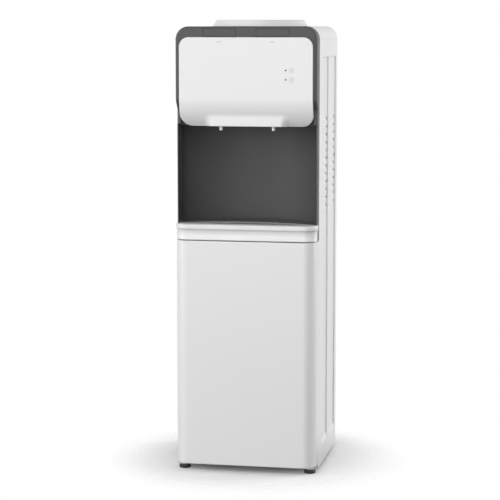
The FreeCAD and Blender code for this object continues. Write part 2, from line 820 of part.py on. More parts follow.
def hood():
    outside = hood_block(0)
    body = outside.cut(hood_block(hood_wall))
    gap = panel_half + button_gap
    window = shroud_half + shroud_blend + 2.0
    body = body.cut(box(-gap, gap, panel_front, side_front + 1, hood_bottom - 1, roll_z))
    cuts = [box(-window, window, panel_front, side_front + 1, hood_bottom - 1, roll_z - 10)]
    add = [roll_backing()]
    pin_z = panel_bottom + lever_pin_rise
    for sx in (-1, 1):
        x0, x1 = sorted((sx * gap, sx * (gap + hood_wall)))
        add.append(outside.common(box(x0, x1, panel_front, side_front, hood_bottom, roll_z)))
        x = sx * button_x
        w = button_width / 2 + button_gap
        cuts.append(box(x - w, x + w, hood_front - 1, hood_front + hood_wall + 1, button_low, button_high))
        for x0, x1 in ear_spans(sx * tap_x):
            add.append(box(x0, x1, hood_front + hood_wall, tap_y + 5, pin_z - 5, pin_z + 5))
        cuts.append(rod(V(sx * tap_x - ear_reach, tap_y, pin_z), RIGHT, lever_pin_radius, 2 * ear_reach))
    for z in (lens_low, lens_low + lens_pitch):
        cuts.append(rod(V(lens_x, hood_front - 1, panel_bottom + z), BACK, lens_radius + running_gap, 5))
    for x, z in board_posts:
        add.append(rod(V(x, hood_front + hood_wall, z), BACK, 2.0, board_gap))
    return joined([body] + add).cut(Part.makeCompound(cuts))


def control_panel():
    outer = roll_radius
    inner = roll_radius - panel_proud
    low = panel_bottom
    mid = (roll_z + low) / 2
    side = face("yz", -panel_half, (panel_front, panel_top), ((panel_front, roll_z),),
                ((roll_point(outer, mid), mid), (roll_point(outer, low), low)),
                ((roll_point(inner, low), low),),
                ((roll_point(inner, mid), mid), (hood_front, roll_z)), ((hood_front, panel_top),))
    outline = rounded("xz", panel_front - 1, -panel_half, panel_half, panel_bottom, panel_top,
                      panel_low_corner, panel_top_corner)
    skin = side.extrude(RIGHT * 2 * panel_half).common(outline.extrude(BACK * 60))
    front = panel_front + shroud_back
    back = roll_point(outer, low)
    top = panel_bottom + shroud_height

    def shroud(inset, z0, z1):
        wide = shroud_half + shroud_blend - inset * 1.5
        plan = face("xy", z0, (-wide, back), ((-shroud_half + inset * 0.5, front + inset),),
                    ((shroud_half - inset * 0.5, front + inset),), ((wide, back),))
        return plan.extrude(UP * (z1 - z0))

    solid = shroud(0, low, top)
    behind_roll = face("yz", -panel_half, (roll_point(inner, low), low),
                       ((roll_point(inner, mid), mid), (hood_front, roll_z)), ((side_front, roll_z),),
                       ((side_front, low),)).extrude(RIGHT * 2 * panel_half)
    keep = solid.cut(shroud(shroud_wall, low + shroud_wall, top + 1).fuse(behind_roll.common(
        box(-half, half, front + shroud_wall, side_front, low + shroud_wall, top + 1))))
    wide = shroud_half + shroud_blend - shroud_wall * 1.5
    z0, z1 = low + shroud_wall, top - shroud_wall / 2
    cavity = shroud(shroud_wall, z0, z1).fuse(box(-wide, wide, back - fit_gap, back + 2 * panel_proud, z0, z1))
    body = skin.cut(cavity).fuse(keep)
    holes = [rod(V(sx * tap_x, tap_y, low - 5), UP, nozzle_radius + fit_gap, 30) for sx in (-1, 1)]
    for z in (lens_low, lens_low + lens_pitch):
        holes.append(rod(V(lens_x, panel_front - 1, panel_bottom + z), BACK, lens_radius + running_gap, 8))
    return body.cut(Part.makeCompound(holes)).removeSplitter()


def button(x):
    w = button_width / 2
    inner_face = hood_front + hood_wall + fit_gap
    cap = box(x - w, x + w, hood_front, hood_front + button_thick, button_low + button_gap,
              button_high - button_gap)
    flange = box(x - w - 2, x + w + 2, inner_face, hood_front + button_thick, button_low - 1,
                 button_high + 1)
    stem = box(x - 4, x + 4, hood_front + button_thick - 1, stem_back,
               (button_low + button_high) / 2 - 3, (button_low + button_high) / 2 + 3)
    return joined([cap, flange, stem])


save("hood", hood())
save("control_panel", control_panel())
save("button_hot", button(-button_x))
save("button_cold", button(button_x))


# ---------------------------------------------------------------- taps, nozzles, levers, board


def tap(x):
    """Valve body with an upright barrel, a cap and an inlet that points back."""
    barrel = rod(V(x, tap_y, tap_low), UP, tap_radius, tap_height)
    cap = rod(V(x, tap_y, tap_low + tap_height), UP, tap_radius - 2, tap_cap)
    inlet = rod(V(x, tap_y, inlet_z), BACK, hose_radius, tap_radius + inlet_length)
    flange = box(x - 12, x + 12, tap_y - 2, tap_y + 2, tap_low + 10, tap_low + 26)
    body = joined([barrel, cap, inlet, flange])
    return body.cut(rod(V(x, tap_y + tap_radius, inlet_z), BACK, hose_bore - 1, inlet_length + 1))


def nozzle(x):
    low = panel_bottom - nozzle_drop
    r = nozzle_radius
    return turned([(nozzle_bore, low), (r - 1.5, low), (r - 0.5, low + 1), (r, panel_bottom + 1),
                   (r, tap_low), (nozzle_bore, tap_low)], x, tap_y)


def lever(x):
    """Rocker plate: the button's stem pushes its top, and its foot works the valve."""
    z = panel_bottom + lever_pin_rise
    y0 = tap_y - lever_thick / 2
    plate = box(x - lever_width / 2, x + lever_width / 2, y0, y0 + lever_thick, lever_low, lever_high)
    hub = rod(V(x - lever_width / 2, tap_y, z), RIGHT, lever_pin_radius + 2.5, lever_width)
    bore = rod(V(x - lever_width, tap_y, z), RIGHT, lever_pin_radius + running_gap, 2 * lever_width)
    return plate.fuse(hub).cut(bore)


def coil(radius, wire, pitch, turns):
    """Wound wire about the Z axis, from half-turn arcs, starting at +Y on the ground plane."""
    def on(half_turns):
        angle = math.pi * half_turns + math.pi / 2
        return V(radius * math.cos(angle), radius * math.sin(angle), pitch * half_turns / 2)
    edges = [Part.Arc(on(k), on(k + 0.5), on(k + 1)).toShape() for k in range(2 * turns)]
    path = Part.Wire(edges)
    start = edges[0].tangentAt(edges[0].FirstParameter)
    return path.makePipeShell([Part.Wire(Part.makeCircle(wire, on(0), start))], True, False)


def lever_spring(x):
    spring = coil(lever_pin_radius + spring_wire + 0.2, spring_wire, 2 * spring_wire + 0.3, 3)
    spring.rotate(V(0, 0, 0), BACK, 90)
    spring.translate(V(x + lever_width / 2 + 2 * spring_wire, tap_y, panel_bottom + lever_pin_rise))
    return spring


lever_low = tap_low + tap_height + tap_cap + 0.5
lever_high = (button_low + button_high) / 2 + 6.0
save("taps", Part.makeCompound([tap(sx * tap_x) for sx in (-1, 1)]))
save("nozzles", Part.makeCompound([nozzle(sx * tap_x) for sx in (-1, 1)]))
save("tap_lever_hot", lever(-tap_x))
save("tap_lever_cold", lever(tap_x))
pins = [rod(V(ear_spans(sx * tap_x)[0][0], tap_y, panel_bottom + lever_pin_rise), RIGHT, lever_pin_radius,
            ear_spans(0)[1][1] - ear_spans(0)[0][0]) for sx in (-1, 1)]
save("lever_pins", Part.makeCompound(pins))
save("lever_springs", Part.makeCompound([lever_spring(sx * tap_x) for sx in (-1, 1)]))
board_y = hood_front + hood_wall + board_gap
save("indicator_board", box(board_left, board_right, board_y, board_y + board_wall, board_low, board_high))
lenses = [rod(V(lens_x, panel_front - lens_proud, panel_bottom + z), BACK, lens_radius,
              board_y - panel_front + lens_proud) for z in (lens_low, lens_low + lens_pitch)]
save("indicator_lenses", Part.makeCompound(lenses))

# ---------------------------------------------------------------- top cover, collar, funnel, probe


def top_cover():
    def block(inset, y0, y1):
        outline = rounded("xz", y0, -half + inset, half - inset, cover_bottom - (1 if inset else 0),
                          housing_top - inset, 0, cover_corner - inset)
        return outline.extrude(BACK * (y1 - y0))
    body = block(0, side_front, rear).cut(block(cover_wall, side_front - 1, rear - cover_wall))
    return body.cut(rod(V(0, collar_y, cover_bottom), UP, seat_radius + seat_wall + fit_gap, housing_top))


def bottle_collar():
    wall = seat_radius + seat_wall
    top = collar_top
    low = collar_top - 2 - seat_length
    return turned([(seat_radius, low), (wall, low), (wall, housing_top), (collar_base_radius, housing_top),
                   (collar_base_radius, housing_top + 1.2), (collar_top_radius + 0.6, top - 1.2),
                   (collar_top_radius - 0.8, top), (seat_radius + 2, top), (seat_radius, top - 2)],
                  0, collar_y)


funnel_z = housing_top - funnel_floor
lid_top = funnel_z - funnel_wall - 2.0
jacket_radius = tank_radius + coil_room + jacket_wall
jacket_top = lid_top - lid_height
tank_bottom = shelf_top + jacket_floor
tank_top = tank_bottom + tank_height
coil_radius = tank_radius + 0.4 + coil_tube


def funnel():
    rim_z = collar_top - 2 - seat_length
    wall = seat_radius + seat_wall
    r = funnel_floor_radius
    spigot_low = tank_top - 6.0
    return turned([(spigot_radius - 2, spigot_low), (spigot_radius, spigot_low),
                   (spigot_radius, funnel_z - funnel_wall), (r + 1, funnel_z - funnel_wall),
                   (wall, rim_z - 2 * funnel_wall), (wall, rim_z), (seat_radius, rim_z), (r, funnel_z),
                   (spigot_radius - 2, funnel_z)], 0, collar_y)


def probe():
    top = funnel_z + probe_height
    r = probe_radius
    body = turned([(probe_bore, funnel_z), (spigot_radius + 6, funnel_z),
                   (spigot_radius + 6, funnel_z + 2.5),
                   (r, funnel_z + 2.5), (r, top - 10), (4, top), (0, top), (0, top - 3),
                   (probe_bore, top - 10)], 0, collar_y)
    windows = []
    for turn in (0, 90):
        slot = box(-r - 1, r + 1, -2.5, 2.5, funnel_z + 6, top - 12)
        slot.rotate(V(0, 0, 0), UP, turn)
        slot.translate(V(0, collar_y, 0))
        windows.append(slot)
    return body.cut(Part.makeCompound(windows))


save("top_cover", top_cover())
save("bottle_collar", bottle_collar())
save("funnel", funnel())
save("bottle_probe", probe())

# ---------------------------------------------------------------- cold tank and its jacket


def cold_tank():
    r = tank_radius
    body = rod(V(0, collar_y, tank_bottom), UP, r, tank_height)
    inside = rod(V(0, collar_y, tank_bottom + tank_wall), UP, r - tank_wall, tank_height - 2 * tank_wall)
    body = body.cut(inside)
    cuts = [rod(V(0, collar_y, tank_top - 2 * tank_wall), UP, spigot_radius + fit_gap, 4 * tank_wall),
            rod(V(tap_x, side_front, inlet_z), BACK, hose_bore, collar_y - side_front),
            rod(V(feed_x, feed_y, tank_bottom - 5), UP, hose_bore, 10)]
    return body.cut(Part.makeCompound(cuts))


def jacket():
    body = rod(V(0, collar_y, shelf_top), UP, jacket_radius, jacket_top - shelf_top)
    well = rod(V(0, collar_y, tank_bottom), UP, tank_radius + coil_room, jacket_top)
    cuts = [well, rod(V(tap_x, side_front, inlet_z), BACK, hose_radius + fit_gap, collar_y - side_front),
            rod(V(feed_x, feed_y, shelf_top - 5), UP, hose_radius + fit_gap, 40),
            rod(V(capillary_x, collar_y, coil_low + 1), BACK, capillary_radius + fit_gap, 2 * jacket_radius),
            rod(V(0, collar_y, coil_high), BACK, pipe_radius + fit_gap, 2 * jacket_radius)]
    return body.cut(Part.makeCompound(cuts))


feed_x = 30.0
feed_y = hot_y - feed_inset
coil_low = tank_bottom + coil_rise
coil_high = coil_low + coil_pitch * coil_turns
save("cold_tank", cold_tank())
lid = tube(V(0, collar_y, jacket_top), UP, jacket_radius, spigot_radius + fit_gap, lid_height)
save("cold_jacket", Part.makeCompound([jacket(), lid]))
winding = coil(coil_radius, coil_tube, coil_pitch, coil_turns)
winding.translate(V(0, collar_y, coil_low))
save("evaporator_coil", winding)
hot_top = ceiling_bottom - hot_drop
hot_bottom = hot_top - hot_height
shelf = box(-bump_half + touch_gap, bump_half - touch_gap, side_front + shelf_front,
            back_y - side_wall - touch_gap,
            hood_bottom, shelf_top)
rise_x = -jacket_radius - 31.0
rise_y = hot_y - 30.0
save("tank_shelf", shelf.cut(Part.makeCompound([
    rod(V(feed_x, feed_y, hood_bottom - 5), UP, hose_radius + fit_gap, 20),
    rod(V(rise_x, rise_y, hood_bottom - 5), UP, hose_radius + fit_gap, 20),
    rod(V(0, pipe_y, hood_bottom - 5), UP, pipe_radius + fit_gap, 20),
    rod(V(capillary_x, pipe_y, hood_bottom - 5), UP, capillary_radius + fit_gap, 20)])))

# ---------------------------------------------------------------- hot tank and hoses
drain_x = -half + outlet_inset
drain_y = back_y - hose_radius - 3.0
drain_z = back_low + outlet_rise
hot_out = (-20.0, hot_y + 10.0)
hot_drain = (-25.0, hot_y + 22.0)
thermostat_places = ((-12.0, hot_y - 22.0), (14.0, hot_y + 26.0))


def hot_tank():
    body = rod(V(0, hot_y, hot_bottom), UP, hot_radius, hot_height)
    body = body.cut(rod(V(0, hot_y, hot_bottom + tank_wall), UP, hot_radius - tank_wall,
                        hot_height - 2 * tank_wall))
    holes = [rod(V(feed_x, feed_y, hot_top - 5), UP, hose_bore, 10),
             rod(V(hot_out[0], hot_out[1], hot_top - 5), UP, hose_bore, 10),
             rod(V(hot_drain[0], hot_drain[1], hot_bottom - 5), UP, hose_bore, 10)]
    return body.cut(Part.makeCompound(holes))


def hot_bracket():
    plate = box(-bracket_half, bracket_half, hot_y - hot_radius - bracket_reach, back_y,
                hot_bottom - sheet, hot_bottom)
    flange = box(-bracket_half, bracket_half, back_y - sheet, back_y, hot_bottom - bracket_flange,
                 hot_bottom)
    hole = rod(V(hot_drain[0], hot_drain[1], hot_bottom - 5), UP, hose_radius + fit_gap, 10)
    return plate.fuse(flange).cut(hole).removeSplitter()


band_inner = hot_radius + touch_gap
save("hot_tank", hot_tank())
save("heater_band", tube(V(0, hot_y, hot_bottom + band_rise), UP, band_inner + band_wall, band_inner,
                         band_width))
save("hot_jacket", tube(V(0, hot_y, hot_bottom), UP, hot_outer, hot_outer - felt_wall, hot_height))
save("hot_tank_bracket", hot_bracket())
save("thermostats", Part.makeCompound([rod(V(x, y, hot_top), UP, thermostat_radius, thermostat_height)
                                       for x, y in thermostat_places]))

feed_hose = tube(V(feed_x, feed_y, hot_top), UP, hose_radius, hose_bore, tank_bottom - hot_top)
tap_end = tap_y + tap_radius + inlet_length
cold_run = tube(V(tap_x, tap_end, inlet_z), BACK, hose_radius, hose_bore, collar_y - tap_end)
cold_hose = cold_run.cut(rod(V(0, collar_y, tank_bottom), UP, tank_radius + touch_gap, tank_height))
turn_y = tap_end + 22.0
hot_rise = hot_top + hot_rise_step
hot_hose = bent([(hot_out[0], hot_out[1], hot_top), (hot_out[0], hot_out[1], hot_rise),
                 (rise_x, rise_y, hot_rise), (rise_x, rise_y, inlet_z), (rise_x, turn_y, inlet_z),
                 (-tap_x, turn_y, inlet_z), (-tap_x, tap_end, inlet_z)],
                hose_radius, hose_bend, hose_bore)
spout_top = drain_z + spout_rise
drain_drop = hot_bottom - 28.0
drain_hose = bent([(hot_drain[0], hot_drain[1], hot_bottom), (hot_drain[0], hot_drain[1], drain_drop),
                   (drain_x, drain_y, drain_drop), (drain_x, drain_y, spout_top)],
                  hose_radius, hose_bend, hose_bore)
save("water_hoses", Part.makeCompound([feed_hose, cold_hose, hot_hose, drain_hose]))

# ---------------------------------------------------------------- back panel and what it holds
panel_back = back_y + sheet
condenser_top = housing_top - condenser_drop
gland_x = -drain_x
switch_z = housing_top - switch_drop


def facing_back(profile, x, z):
    """Turned part whose axis points back, from (radius, distance behind the frame's origin) points."""
    solid = turned(profile, 0, 0)
    solid.rotate(V(0, 0, 0), RIGHT, -90)
    solid.translate(V(x, 0, z))
    return solid


def back_panel():
    body = box(-bump_half, bump_half, back_y, panel_back, back_low, cover_bottom)
    crown = half - cover_corner - 7.0
    body = body.fuse(box(-crown, crown, back_y, panel_back, cover_bottom, housing_top - cover_wall))
    cuts = [rod(V(drain_x, back_y - 5, drain_z), BACK, spout_radius - 2 + fit_gap, 20),
            rod(V(gland_x, back_y - 5, drain_z), BACK, gland_radius - 3 + touch_gap, 20)]
    wide = switch_pitch / 2 + cavity_half + bezel_wall / 2
    cuts.append(box(-wide, wide, back_y - 5, panel_back + 5, switch_z - cavity_high - bezel_wall / 2,
                    switch_z + cavity_high + bezel_wall / 2))
    for sx in (-1, 1):
        for row in range(10):
            z = condenser_top - 24 - row * 16
            cuts.append(box(sx * 65 - 35, sx * 65 + 35, back_y - 5, panel_back + 5, z - 2, z + 2))
        for z in screw_rows:
            cuts.append(rod(V(sx * screw_x, back_y - 5, z), BACK, screw_radius + touch_gap, 20))
    return body.removeSplitter().cut(Part.makeCompound(cuts))


def switch_bezel():
    wide = switch_pitch / 2 + cavity_half
    high = cavity_high
    rim = box(-wide - bezel_wall, wide + bezel_wall, panel_back, panel_back + 2.5,
              switch_z - high - bezel_wall, switch_z + high + bezel_wall)
    body = box(-wide - 1, wide + 1, back_y - 6, panel_back + 2.5, switch_z - high - 1,
               switch_z + high + 1)
    solid = rim.fuse(body).removeSplitter()
    for sx in (-1, 1):
        x = sx * switch_pitch / 2
        solid = solid.cut(box(x - cavity_half, x + cavity_half, back_y - 5, panel_back + 5, switch_z - high,
                              switch_z + high))
        solid = solid.cut(rod(V(x - rocker_half - 1.4, panel_back, switch_z), RIGHT, 1.5 + running_gap,
                              2 * (rocker_half + 1.4)))
    return solid


def rocker(x):
    """Two-position key on a trunnion, stored with its upper end pressed in."""
    low_edge = (panel_back - 3, -rocker_high + 2)
    outline = face("yz", x - rocker_half, low_edge, ((panel_back - 3, rocker_high - 2),),
                   ((panel_back + 4.5, rocker_high),),
                   ((panel_back + 3, 0), (panel_back + 4.5, -rocker_high)))
    key = outline.extrude(RIGHT * 2 * rocker_half)
    key = key.fuse(rod(V(x - rocker_half - 1.2, panel_back, 0), RIGHT, 1.5, 2 * (rocker_half + 1.2)))
    key.rotate(V(x, panel_back, 0), RIGHT, rocker_tilt)
    key.translate(V(0, 0, switch_z))
    return key.removeSplitter()


def drain_spout():
    r = spout_radius - 2
    socket = rod(V(drain_x, drain_y, drain_z), UP, r, spout_top - drain_z)
    arm = rod(V(drain_x, drain_y - r + 2, drain_z), BACK, r, panel_back - drain_y + r)
    outside = facing_back([(0, panel_back), (spout_radius + 4, panel_back),
                           (spout_radius + 4, panel_back + 2.5), (spout_radius, panel_back + 2.5),
                           (spout_radius, spout_end), (0, spout_end)], drain_x, drain_z)
    bore = rod(V(drain_x, drain_y, drain_z), BACK, hose_bore + 1, 60)
    drop = rod(V(drain_x, drain_y, drain_z), UP, hose_bore, 60)
    return joined([socket, arm, outside]).cut(Part.makeCompound([bore, drop]))


spout_end = rear - spout_inset
cap_start = spout_end - cap_length + 2.0
save("back_panel", back_panel())
save("switch_bezel", switch_bezel())
save("rocker_heat", rocker(-switch_pitch / 2))
save("rocker_cool", rocker(switch_pitch / 2))
save("drain_spout", drain_spout())
cap_end = cap_start + cap_length
cap_bore = spout_radius + running_gap
save("drain_cap", facing_back([(0, spout_end + fit_gap), (cap_bore, spout_end + fit_gap),
                               (cap_bore, cap_start), (cap_radius, cap_start), (cap_radius, cap_end - 1),
                               (cap_radius - 1, cap_end), (0, cap_end)], drain_x, drain_z))
gland_start = panel_back - 7.0
save("cord_gland", facing_back([(gland_bore, gland_start), (gland_radius - 3, gland_start),
                                (gland_radius - 3, panel_back), (gland_radius, panel_back),
                                (gland_radius, panel_back + 3), (gland_radius - 2, panel_back + 3.5),
                                (gland_radius - 3, gland_start + gland_length), (gland_bore,
                                gland_start + gland_length)], gland_x, drain_z))
screws = [facing_back([(0, panel_back - 7), (screw_radius, panel_back - 7),
                       (screw_radius, panel_back), (screw_head, panel_back),
                       (screw_head - 0.8, panel_back + 1.8), (0, panel_back + 2.2)], sx * screw_x, z)
          for sx in (-1, 1) for z in screw_rows]
save("rear_screws", Part.makeCompound(screws))

# ---------------------------------------------------------------- compressor and cooling circuit
machine_y = back_y - machine_inset
frame_z = base_top + grommet_height
can_low = frame_z + frame_wall
can_high = can_low + compressor_height
port_z = can_low + 92.0
upper_can = compressor_radius - 1.5
condenser_y = rear - condenser_inset
condenser_half = half - condenser_side
condenser_low = condenser_top - condenser_pitch * (condenser_runs - 1)
riser_x = condenser_half + condenser_pitch / 2 + 8.0


def compressor():
    r = compressor_radius
    u = upper_can
    can = turned([(0, can_low), (r - 6, can_low), (r, can_low + 6), (r, can_low + 66), (u, can_low + 68),
                  (u, can_high - 18), (u - 3, can_high - 10), (u - 10, can_high - 4), (u - 22, can_high - 1),
                  (0, can_high)], 0, machine_y)
    terminals = box(r - 8, r + 12, machine_y - 12, machine_y + 12, can_low + 30, can_low + 56)
    frame = box(-frame_half_x, frame_half_x, machine_y - frame_half_y, machine_y + frame_half_y,
                frame_z, can_low)
    return joined([can, terminals, frame])


corners = [(sx * (frame_half_x - 10), machine_y + sy * (frame_half_y - 9))
           for sx in (-1, 1) for sy in (-1, 1)]
save("compressor", compressor())
save("compressor_grommets", Part.makeCompound([rod(V(x, y, base_top), UP, grommet_radius, grommet_height)
                                               for x, y in corners]))


def condenser_path():
    """Runs side to side from the top to the lowest run's end."""
    knee = condenser_half + condenser_pitch / 2
    points = [(-condenser_half, condenser_y, condenser_top)]
    side = 1
    for run in range(condenser_runs - 1):
        z = condenser_top - run * condenser_pitch
        points.append((side * knee, condenser_y, z))
        points.append((side * knee, condenser_y, z - condenser_pitch))
        side = -side
    points.append((side * condenser_half, condenser_y, condenser_low))
    return points


drier_top = condenser_low - drier_drop
drier_low = drier_top - drier_length
wire_y = condenser_tube_radius + wire_radius + 0.02
serpentine = bent(condenser_path(), condenser_tube_radius, condenser_pitch / 2)
wire_count = int(2 * (condenser_half - 5) / wire_pitch) + 1
wire_span = (wire_count - 1) * wire_pitch / 2
wires = [rod(V(-wire_span + k * wire_pitch, condenser_y + side * wire_y, condenser_low - 8), UP, wire_radius,
             condenser_top - condenser_low + 16) for k in range(wire_count) for side in (-1, 1)]
save("condenser", Part.makeCompound([serpentine] + wires))
clip_columns = [(step + 0.5) * wire_pitch - wire_span for step in (0, wire_count // 2 - 1, wire_count - 2)]
clip_runs = (2, condenser_runs // 2, condenser_runs - 3)
clips = [box(x - 4, x + 4, panel_back, condenser_y - condenser_tube_radius - 0.02, z - 2.5, z + 2.5)
         for x in clip_columns for z in [condenser_top - run * condenser_pitch for run in clip_runs]]
save("condenser_clips", Part.makeCompound(clips))
save("filter_drier", turned([(0, drier_low), (3, drier_low), (drier_radius, drier_low + 8),
                             (drier_radius, drier_top - 8), (3, drier_top), (0, drier_top)],
                            riser_x, condenser_y))
port = upper_can + touch_gap
knee_x = -port - 42.0
discharge = bent([(-port, machine_y, port_z), (knee_x, machine_y, port_z), (knee_x, condenser_y, port_z),
                  (-riser_x, condenser_y, port_z), (-riser_x, condenser_y, condenser_top),
                  (-condenser_half, condenser_y, condenser_top)], condenser_tube_radius, pipe_bend)
suction_x = gland_x - gland_room
suction_z = hot_top + 32.0
coil_outer = coil_radius + coil_tube + touch_gap
suction = bent([(0, collar_y + coil_outer, coil_high), (0, pipe_y, coil_high), (0, pipe_y, suction_z),
                (suction_x, pipe_y, suction_z), (suction_x, pipe_y, port_z), (suction_x, machine_y, port_z),
                (port, machine_y, port_z)], pipe_radius, pipe_bend)
low_pass = back_low - 14.0
thin_z = suction_z - 14.0
capillary_end = collar_y + math.sqrt(coil_outer ** 2 - capillary_x ** 2) + capillary_radius / 2
capillary = bent([(riser_x, condenser_y, drier_low), (riser_x, condenser_y, low_pass),
                  (riser_x, pipe_y, low_pass), (riser_x, pipe_y, thin_z), (capillary_x, pipe_y, thin_z),
                  (capillary_x, pipe_y, coil_low + 1), (capillary_x, capillary_end, coil_low + 1)],
                 capillary_radius, 8.0)
liquid = bent([(condenser_half, condenser_y, condenser_low), (riser_x, condenser_y, condenser_low),
               (riser_x, condenser_y, drier_top)], condenser_tube_radius, pipe_bend)
save("refrigerant_pipes", Part.makeCompound([discharge, suction, capillary, liquid]))

power_y = machine_y - 32.0
power_z = base_top + power_rise


def power_block(inset):
    return box(bump_half - power_width + inset, bump_half - inset, power_y + inset,
               power_y + power_depth - inset, power_z + inset, power_z + power_height - inset)


save("power_box", power_block(0).cut(power_block(power_wall)))
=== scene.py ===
# %% [markdown]
# # A water dispenser with a bottle collar, dressed around its frame
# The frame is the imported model: every part at its real size, in metres, +Z up, with the front facing -Y.
# This script keeps those sizes and gives each part its real surface: eased edges, rolled panels, pressed
# channels, and finishes made from nodes. What shows most is modelled again in mesh code and rides on the
# same body as the part that it stands for. What only shows from behind keeps its own mesh and gets a finish.
# %% Load the frame
import math
import bmesh
import bpy
from mathutils import Matrix, Vector


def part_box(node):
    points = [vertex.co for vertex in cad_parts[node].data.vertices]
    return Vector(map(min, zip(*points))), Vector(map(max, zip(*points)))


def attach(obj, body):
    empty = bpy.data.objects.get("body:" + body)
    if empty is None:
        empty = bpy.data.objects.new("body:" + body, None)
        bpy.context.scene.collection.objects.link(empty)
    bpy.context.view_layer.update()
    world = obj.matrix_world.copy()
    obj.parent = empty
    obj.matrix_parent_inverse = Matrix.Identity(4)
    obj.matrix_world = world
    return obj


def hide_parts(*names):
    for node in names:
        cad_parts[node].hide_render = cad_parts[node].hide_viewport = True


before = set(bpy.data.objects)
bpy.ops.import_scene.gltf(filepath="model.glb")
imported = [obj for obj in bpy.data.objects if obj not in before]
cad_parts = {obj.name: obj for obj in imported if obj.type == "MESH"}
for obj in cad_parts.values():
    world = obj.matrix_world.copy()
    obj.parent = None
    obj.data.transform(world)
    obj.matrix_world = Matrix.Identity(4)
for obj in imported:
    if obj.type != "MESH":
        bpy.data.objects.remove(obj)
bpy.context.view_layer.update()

MM = 0.001

# %% [markdown]
# ## Measures
# The outline of every part is read from the frame, so a change there is followed here. Only radii and
# offsets that no bounding box tells are written out, in millimetres, beside what they belong to.
# %% Measures
door_lo, door_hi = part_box("door_shell")
side_lo, side_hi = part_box("side_panel_right")
ledge_lo, ledge_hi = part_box("ledge")
shell_lo, shell_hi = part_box("front_shell")
hood_lo, hood_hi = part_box("hood")
panel_lo, panel_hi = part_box("control_panel")
cover_lo, cover_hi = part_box("top_cover")
collar_lo, collar_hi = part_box("bottle_collar")
grille_lo, grille_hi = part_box("drip_grille")
HALF = side_hi.x
CHEEK_FRONT = -123 * MM
FRONT_CORNER = 28 * MM
TOP_CORNER = 28 * MM
COLLAR = Vector(((collar_lo.x + collar_hi.x) / 2, (collar_lo.y + collar_hi.y) / 2, 0))
print("housing: %.0f mm wide, %.0f mm tall" % (2000 * HALF, 1000 * collar_hi.z))

# %% [markdown]
# ## A bench for meshes
# Most parts here are one of three things: a stack of outlines joined into a skin, a profile turned about an
# upright axis, or a block with eased edges. A small class holds the mesh while such pieces are added to it.
# Stacked outlines were chosen over scaled primitives because every edge radius is then a real one.
# %% The bench


def arc(centre, radius, start, end, steps):
    """Points of an arc between two angles in degrees. A pair of radii makes it elliptical."""
    wide, deep = radius if isinstance(radius, tuple) else (radius, radius)
    angles = [math.radians(start + (end - start) * k / steps) for k in range(steps + 1)]
    return [(centre[0] + wide * math.cos(a), centre[1] + deep * math.sin(a)) for a in angles]


def smooth_step(value, low, high):
    t = min(1.0, max(0.0, (value - low) / (high - low)))
    return t * t * (3 - 2 * t)


def eased(low, high, radius, steps=4):
    """Heights and insets of a stack whose lower and upper edges are rounded."""
    turn = [math.pi / 2 * k / steps for k in range(steps + 1)]
    below = [(low + radius * (1 - math.cos(a)), -radius * (1 - math.sin(a))) for a in turn]
    above = [(high - radius * (1 - math.cos(a)), -radius * (1 - math.sin(a))) for a in reversed(turn)]
    return below + above


class Bench:
    """One mesh in the making."""

    def __init__(self):
        self.bm = bmesh.new()

    def skin(self, rings, around=True, ends=True, joined=False):
        """Quads between outlines that have the same number of points."""
        rows = [[self.bm.verts.new(point) for point in ring] for ring in rings]
        pairs = list(zip(rows, rows[1:]))
        if joined:
            pairs.append((rows[-1], rows[0]))
        count = len(rows[0])
        for one, two in pairs:
            for i in range(count if around else count - 1):
                j = (i + 1) % count
                self.bm.faces.new((one[i], one[j], two[j], two[i]))
        if ends and around and not joined:
            self.bm.faces.new(rows[0][::-1])
            self.bm.faces.new(rows[-1])
        return rows

    def lathe(self, profile, centre, steps=96, closed=True):
        """Profile of (radius, height) points turned about an upright axis."""
        rings = []
        for k in range(steps):
            angle = 2 * math.pi * k / steps
            c, s = math.cos(angle), math.sin(angle)
            rings.append([(centre[0] + r * c, centre[1] + r * s, z) for r, z in profile])
        self.skin(rings, around=closed, joined=True)

    def block(self, low, high, radius=0.5 * MM, steps=2):
        """Box with eased edges."""
        made = bmesh.ops.create_cube(self.bm, size=1.0)["verts"]
        for vert in made:
            vert.co = Vector([low[i] if vert.co[i] < 0 else high[i] for i in range(3)])
        if radius > 0:
            edges = list({edge for vert in made for edge in vert.link_edges})
            bmesh.ops.bevel(self.bm, geom=edges, offset=radius, segments=steps, profile=0.5, affect="EDGES")

    def plain(self, name):
        """The mesh as an object, with no finish yet."""
        bmesh.ops.remove_doubles(self.bm, verts=self.bm.verts, dist=1e-7)
        bmesh.ops.recalc_face_normals(self.bm, faces=self.bm.faces)
        mesh = bpy.data.meshes.new(name)
        self.bm.to_mesh(mesh)
        self.bm.free()
        thing = bpy.data.objects.new(name, mesh)
        bpy.context.scene.collection.objects.link(thing)
        return thing


def settle(thing):
    """Replace an object's mesh by what its modifiers make of it."""
    made = bpy.data.meshes.new_from_object(thing.evaluated_get(bpy.context.evaluated_depsgraph_get()))
    thing.modifiers.clear()
    thing.data = made


def thicken(thing, wall):
    modifier = thing.modifiers.new("wall", "SOLIDIFY")
    modifier.thickness = wall
    modifier.offset = -1.0
    modifier.use_even_offset = True
    settle(thing)


def cut(thing, tool):
    """Take one solid out of another."""
    modifier = thing.modifiers.new("cut", "BOOLEAN")
    modifier.operation = "DIFFERENCE"
    modifier.solver = "EXACT"
    modifier.object = tool
    settle(thing)
    bpy.data.objects.remove(tool)


